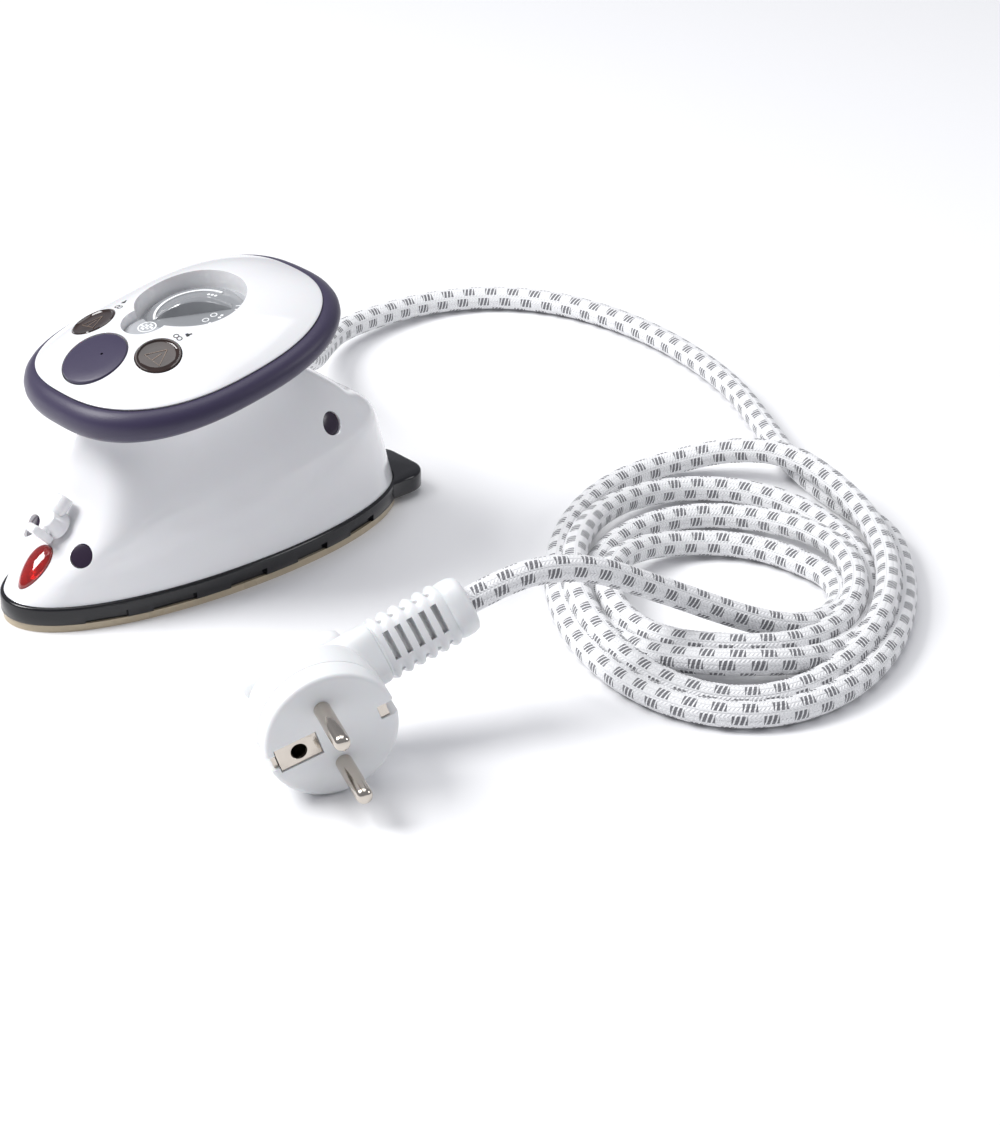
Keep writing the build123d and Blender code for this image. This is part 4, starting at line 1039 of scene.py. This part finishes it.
FACE_RADIUS, TAPER_START, TAPER_LENGTH = 18.8, -13.6, 16.0
NOSE_X, NOSE_Y = 13.2, 7.8
plug_rings = [rounded_ring(plug, r, r, 2, z) for r, z in
              ((17.4, 0.0), (18.2, -0.12), (18.75, -0.5), (19.0, -1.1), (19.0, -6.9), (18.85, -7.0),
               (18.85, -7.2), (19.0, -7.3), (19.0, -12.6), (FACE_RADIUS, TAPER_START))]
for step in range(1, 15):
    t = step / 15
    ease = t * t * (3 - 2 * t)
    plug_rings.append(rounded_ring(plug, FACE_RADIUS - (FACE_RADIUS - NOSE_X) * ease,
                                   FACE_RADIUS - (FACE_RADIUS - NOSE_Y) * ease, 2 + 2.2 * ease,
                                   TAPER_START - TAPER_LENGTH * t))
for shrink, z in ((0.99, -30.4), (0.95, -31.6), (0.87, -32.5), (0.72, -33.0)):
    plug_rings.append(rounded_ring(plug, NOSE_X * shrink, NOSE_Y * shrink, 4.2, z))
plug_shell = skin("plug_shell", plug_rings, soft_white)

lead_up = plug.to_3x3() @ Y
lead_place = frame_at(lead_start, lead_way, lead_up)
SLOT_TILT = math.radians(58)
lead_turned = lead_place @ Matrix.Rotation(SLOT_TILT, 4, "Z")


neck = skin("neck", [rounded_ring(lead_turned, *level) for level in
                     ((8.6, 8.8, 3.4, 0), (8.7, 9.0, 3.4, 10), (8.5, 8.9, 3.6, 18),
                      (8.2, 8.8, 3.8, 21.4), (7.9, 8.5, 3.8, 22.2))], soft_white)
spine = frame_at(plug @ Vector((-11.0, 6.2, -27.5)), lead_way, lead_up)
ridge = turned("ridge", spine, [(1.2, -4.6), (3.0, -3.8), (4.1, -2.0), (4.4, 0), (4.4, 22.0),
                                (4.1, 23.8), (3.0, 25.6), (1.2, 26.4)], soft_white, 48)
EARTH_PLATE_X, EARTH_X = -10.2, -10.0
CLIP_FOOT = -14.4
seats = [block("seat", plug_spot(x), size, soft_white, foot) for x, size, foot in
         ((EARTH_PLATE_X, (12.6, 7.6, 6), -1.3), (16.6, (5.6, 4.4, 20), CLIP_FOOT),
          (-17.9, (3.6, 4.4, 20), CLIP_FOOT))]
socket = turned("socket", plug_spot(EARTH_X), [(2.6, -18), (2.6, 3)], soft_white, 40)
plug_shell = joined(plug_shell, [neck, ridge], sharp=50)
plug_shell = drilled(plug_shell, [*seats, socket], rim=0.25, sharp=50)
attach(plug_shell, "root")
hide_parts("plug_body")

# relief: beads along both edges, five slots through, and a rounded collar
SLOT_COUNT, SLOT_STEP = 5, 3.8
relief_levels = [(8.1 - bead, 8.4 - bead, 3.2, z) for z, bead in ((22.0, 0.55), (22.6, 0.2))]
for number in range(SLOT_COUNT + 1):
    start = 23.2 + SLOT_STEP * number
    for shift, bead in ((0.0, 0.0), (0.45, 0.75), (1.2, 1.05), (1.95, 0.75), (2.4, 0.0),
                        (2.8, -0.15), (3.4, -0.15)):
        relief_levels.append((7.3, 8.2 + bead, 2.9, start + shift))
for height, grow in ((44.6, 0.1), (45.4, 0.75), (46.6, 1.0), (49.0, 0.95), (50.4, 0.5),
                     (PLUG_RELIEF_END, -0.4)):
    relief_levels.append((7.3 + grow, 7.6 + grow, 2.7, height))
for shrink, height in ((0.8, 51.35), (0.62, 51.4)):
    relief_levels.append((7.1 * shrink, 7.1 * shrink, 2.4, height))
relief_rings = [rounded_ring(lead_turned, *level) for level in relief_levels]
plug_relief = skin("plug_relief", relief_rings, soft_white, sharp=45)
slots = row("slots", block("slot", Matrix.Identity(4), (17.6, 8.4, 1.9), soft_white),
            lead_turned @ Matrix.Translation((0, 0, 24.9)), SLOT_COUNT, step=(0, 0, SLOT_STEP))
beads = row("bead holes", turned("hole", frame_at((0, 0, 0), Y, X), [(0.75, -12), (0.75, 12)],
                                 soft_white, 20),
            lead_turned @ Matrix.Translation((4.6, 0, 26.0)), SLOT_COUNT, step=(0, 0, SLOT_STEP))
plug_relief = drilled(plug_relief, [slots, beads], rim=0.2, sharp=45)
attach(plug_relief, "root")
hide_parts("plug_strain_relief")

PIN_APART, PIN_RADIUS = 19.0, 2.4
pins = merged("pins", [turned("pin", plug_spot(0, PIN_APART / 2 * side),
                              [(PIN_RADIUS, -3), (PIN_RADIUS, 16.9), (2.3, 17.6), (2.0, 18.3),
                               (1.5, 18.75), (0.8, 18.97), (0.3, 19.0)], nickel, 56)
                       for side in (-1, 1)])
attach(pins, "root")
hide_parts("plug_pins")

earth = plug_spot(EARTH_X)
earth_plate = block("earth plate", plug_spot(EARTH_PLATE_X), (12.2, 7.2, 0.9), nickel, -1.3)
plate_hole = turned("plate hole", earth, [(2.3, -3), (2.3, 3)], nickel, 40)
earth_plate = drilled(earth_plate, [plate_hole], rim=0.15)
earth_tube = turned("earth tube", earth, [(2.6, -17), (2.6, -1.2)], nickel, 40)
tube_bore = turned("tube bore", earth, [(2.3, -16), (2.3, 3)], nickel, 40)
earth_tube = drilled(earth_tube, [tube_bore])
clip = block("clip", plug_spot(15.2), (2.6, 4.2, 13.6), nickel, -14.2)
clip_back = block("clip back", plug_spot(-17.2), (1.2, 4.2, 13.0), nickel, -14.2)
contacts = merged("earth_contacts", [earth_plate, earth_tube, clip, clip_back])
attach(contacts, "root")
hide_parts("plug_earth_contacts")

# ---- finishes of the CAD pieces
cad_finishes = {
    "soleplate": ceramic, "heating_element": steel, "steam_chamber_cover": aluminium,
    "skirt_screws": steel, "body_screws": steel, "handle_screws": steel, "indicator_lamp": red_lens,
    "valve_body": brass, "valve_needle": steel, "dial_shaft": steel, "thermostat": ivory,
    "thermal_fuse": ivory, "water_tank": clear_tank, "tank_cover": clear_tank,
    "tank_seal": silicone, "water_tube": silicone, "terminal_block": ivory, "cord_clamp": steel,
    "heater_leads": sleeve,
}
for name, finish in cad_finishes.items():
    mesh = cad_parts[name].data
    mesh.materials.clear()
    mesh.materials.append(finish)

# ---- floor and light
FLOOR_HALF = 3000
floor_material, _, floor_bsdf = shader("floor", Roughness=0.6)
floor_bsdf.inputs["Base Color"].default_value = (0.93, 0.93, 0.94, 1)
floor = make_piece("floor", [(x * FLOOR_HALF, y * FLOOR_HALF, 0) for x, y in
                             ((-1, -1), (1, -1), (1, 1), (-1, 1))],
                   [(0, 1, 2, 3)], floor_material, outward=False)


def softbox(name, place, aim, size, power):
    """A square soft light."""
    light = bpy.data.lights.new(name, "AREA")
    light.shape = "SQUARE"
    light.size = size
    light.energy = power
    lamp = linked(name, light)
    lamp.location = place
    lamp.rotation_euler = (Vector(aim) - Vector(place)).to_track_quat("-Z", "Y").to_euler()


softbox("key", (-0.75, 0.55, 1.1), (0, 0, 0.02), 0.7, 20)
softbox("edge", (0.75, -0.75, 0.55), (0, 0, 0.03), 0.3, 1.6)
softbox("top", (0.1, 0.1, 1.6), (0, 0, 0), 1.2, 9)
world = bpy.data.worlds.new("studio")
world.use_nodes = True
background = world.node_tree.nodes["Background"].inputs
background["Color"].default_value = (0.90, 0.92, 1.0, 1)
background["Strength"].default_value = 0.33
bpy.context.scene.world = world
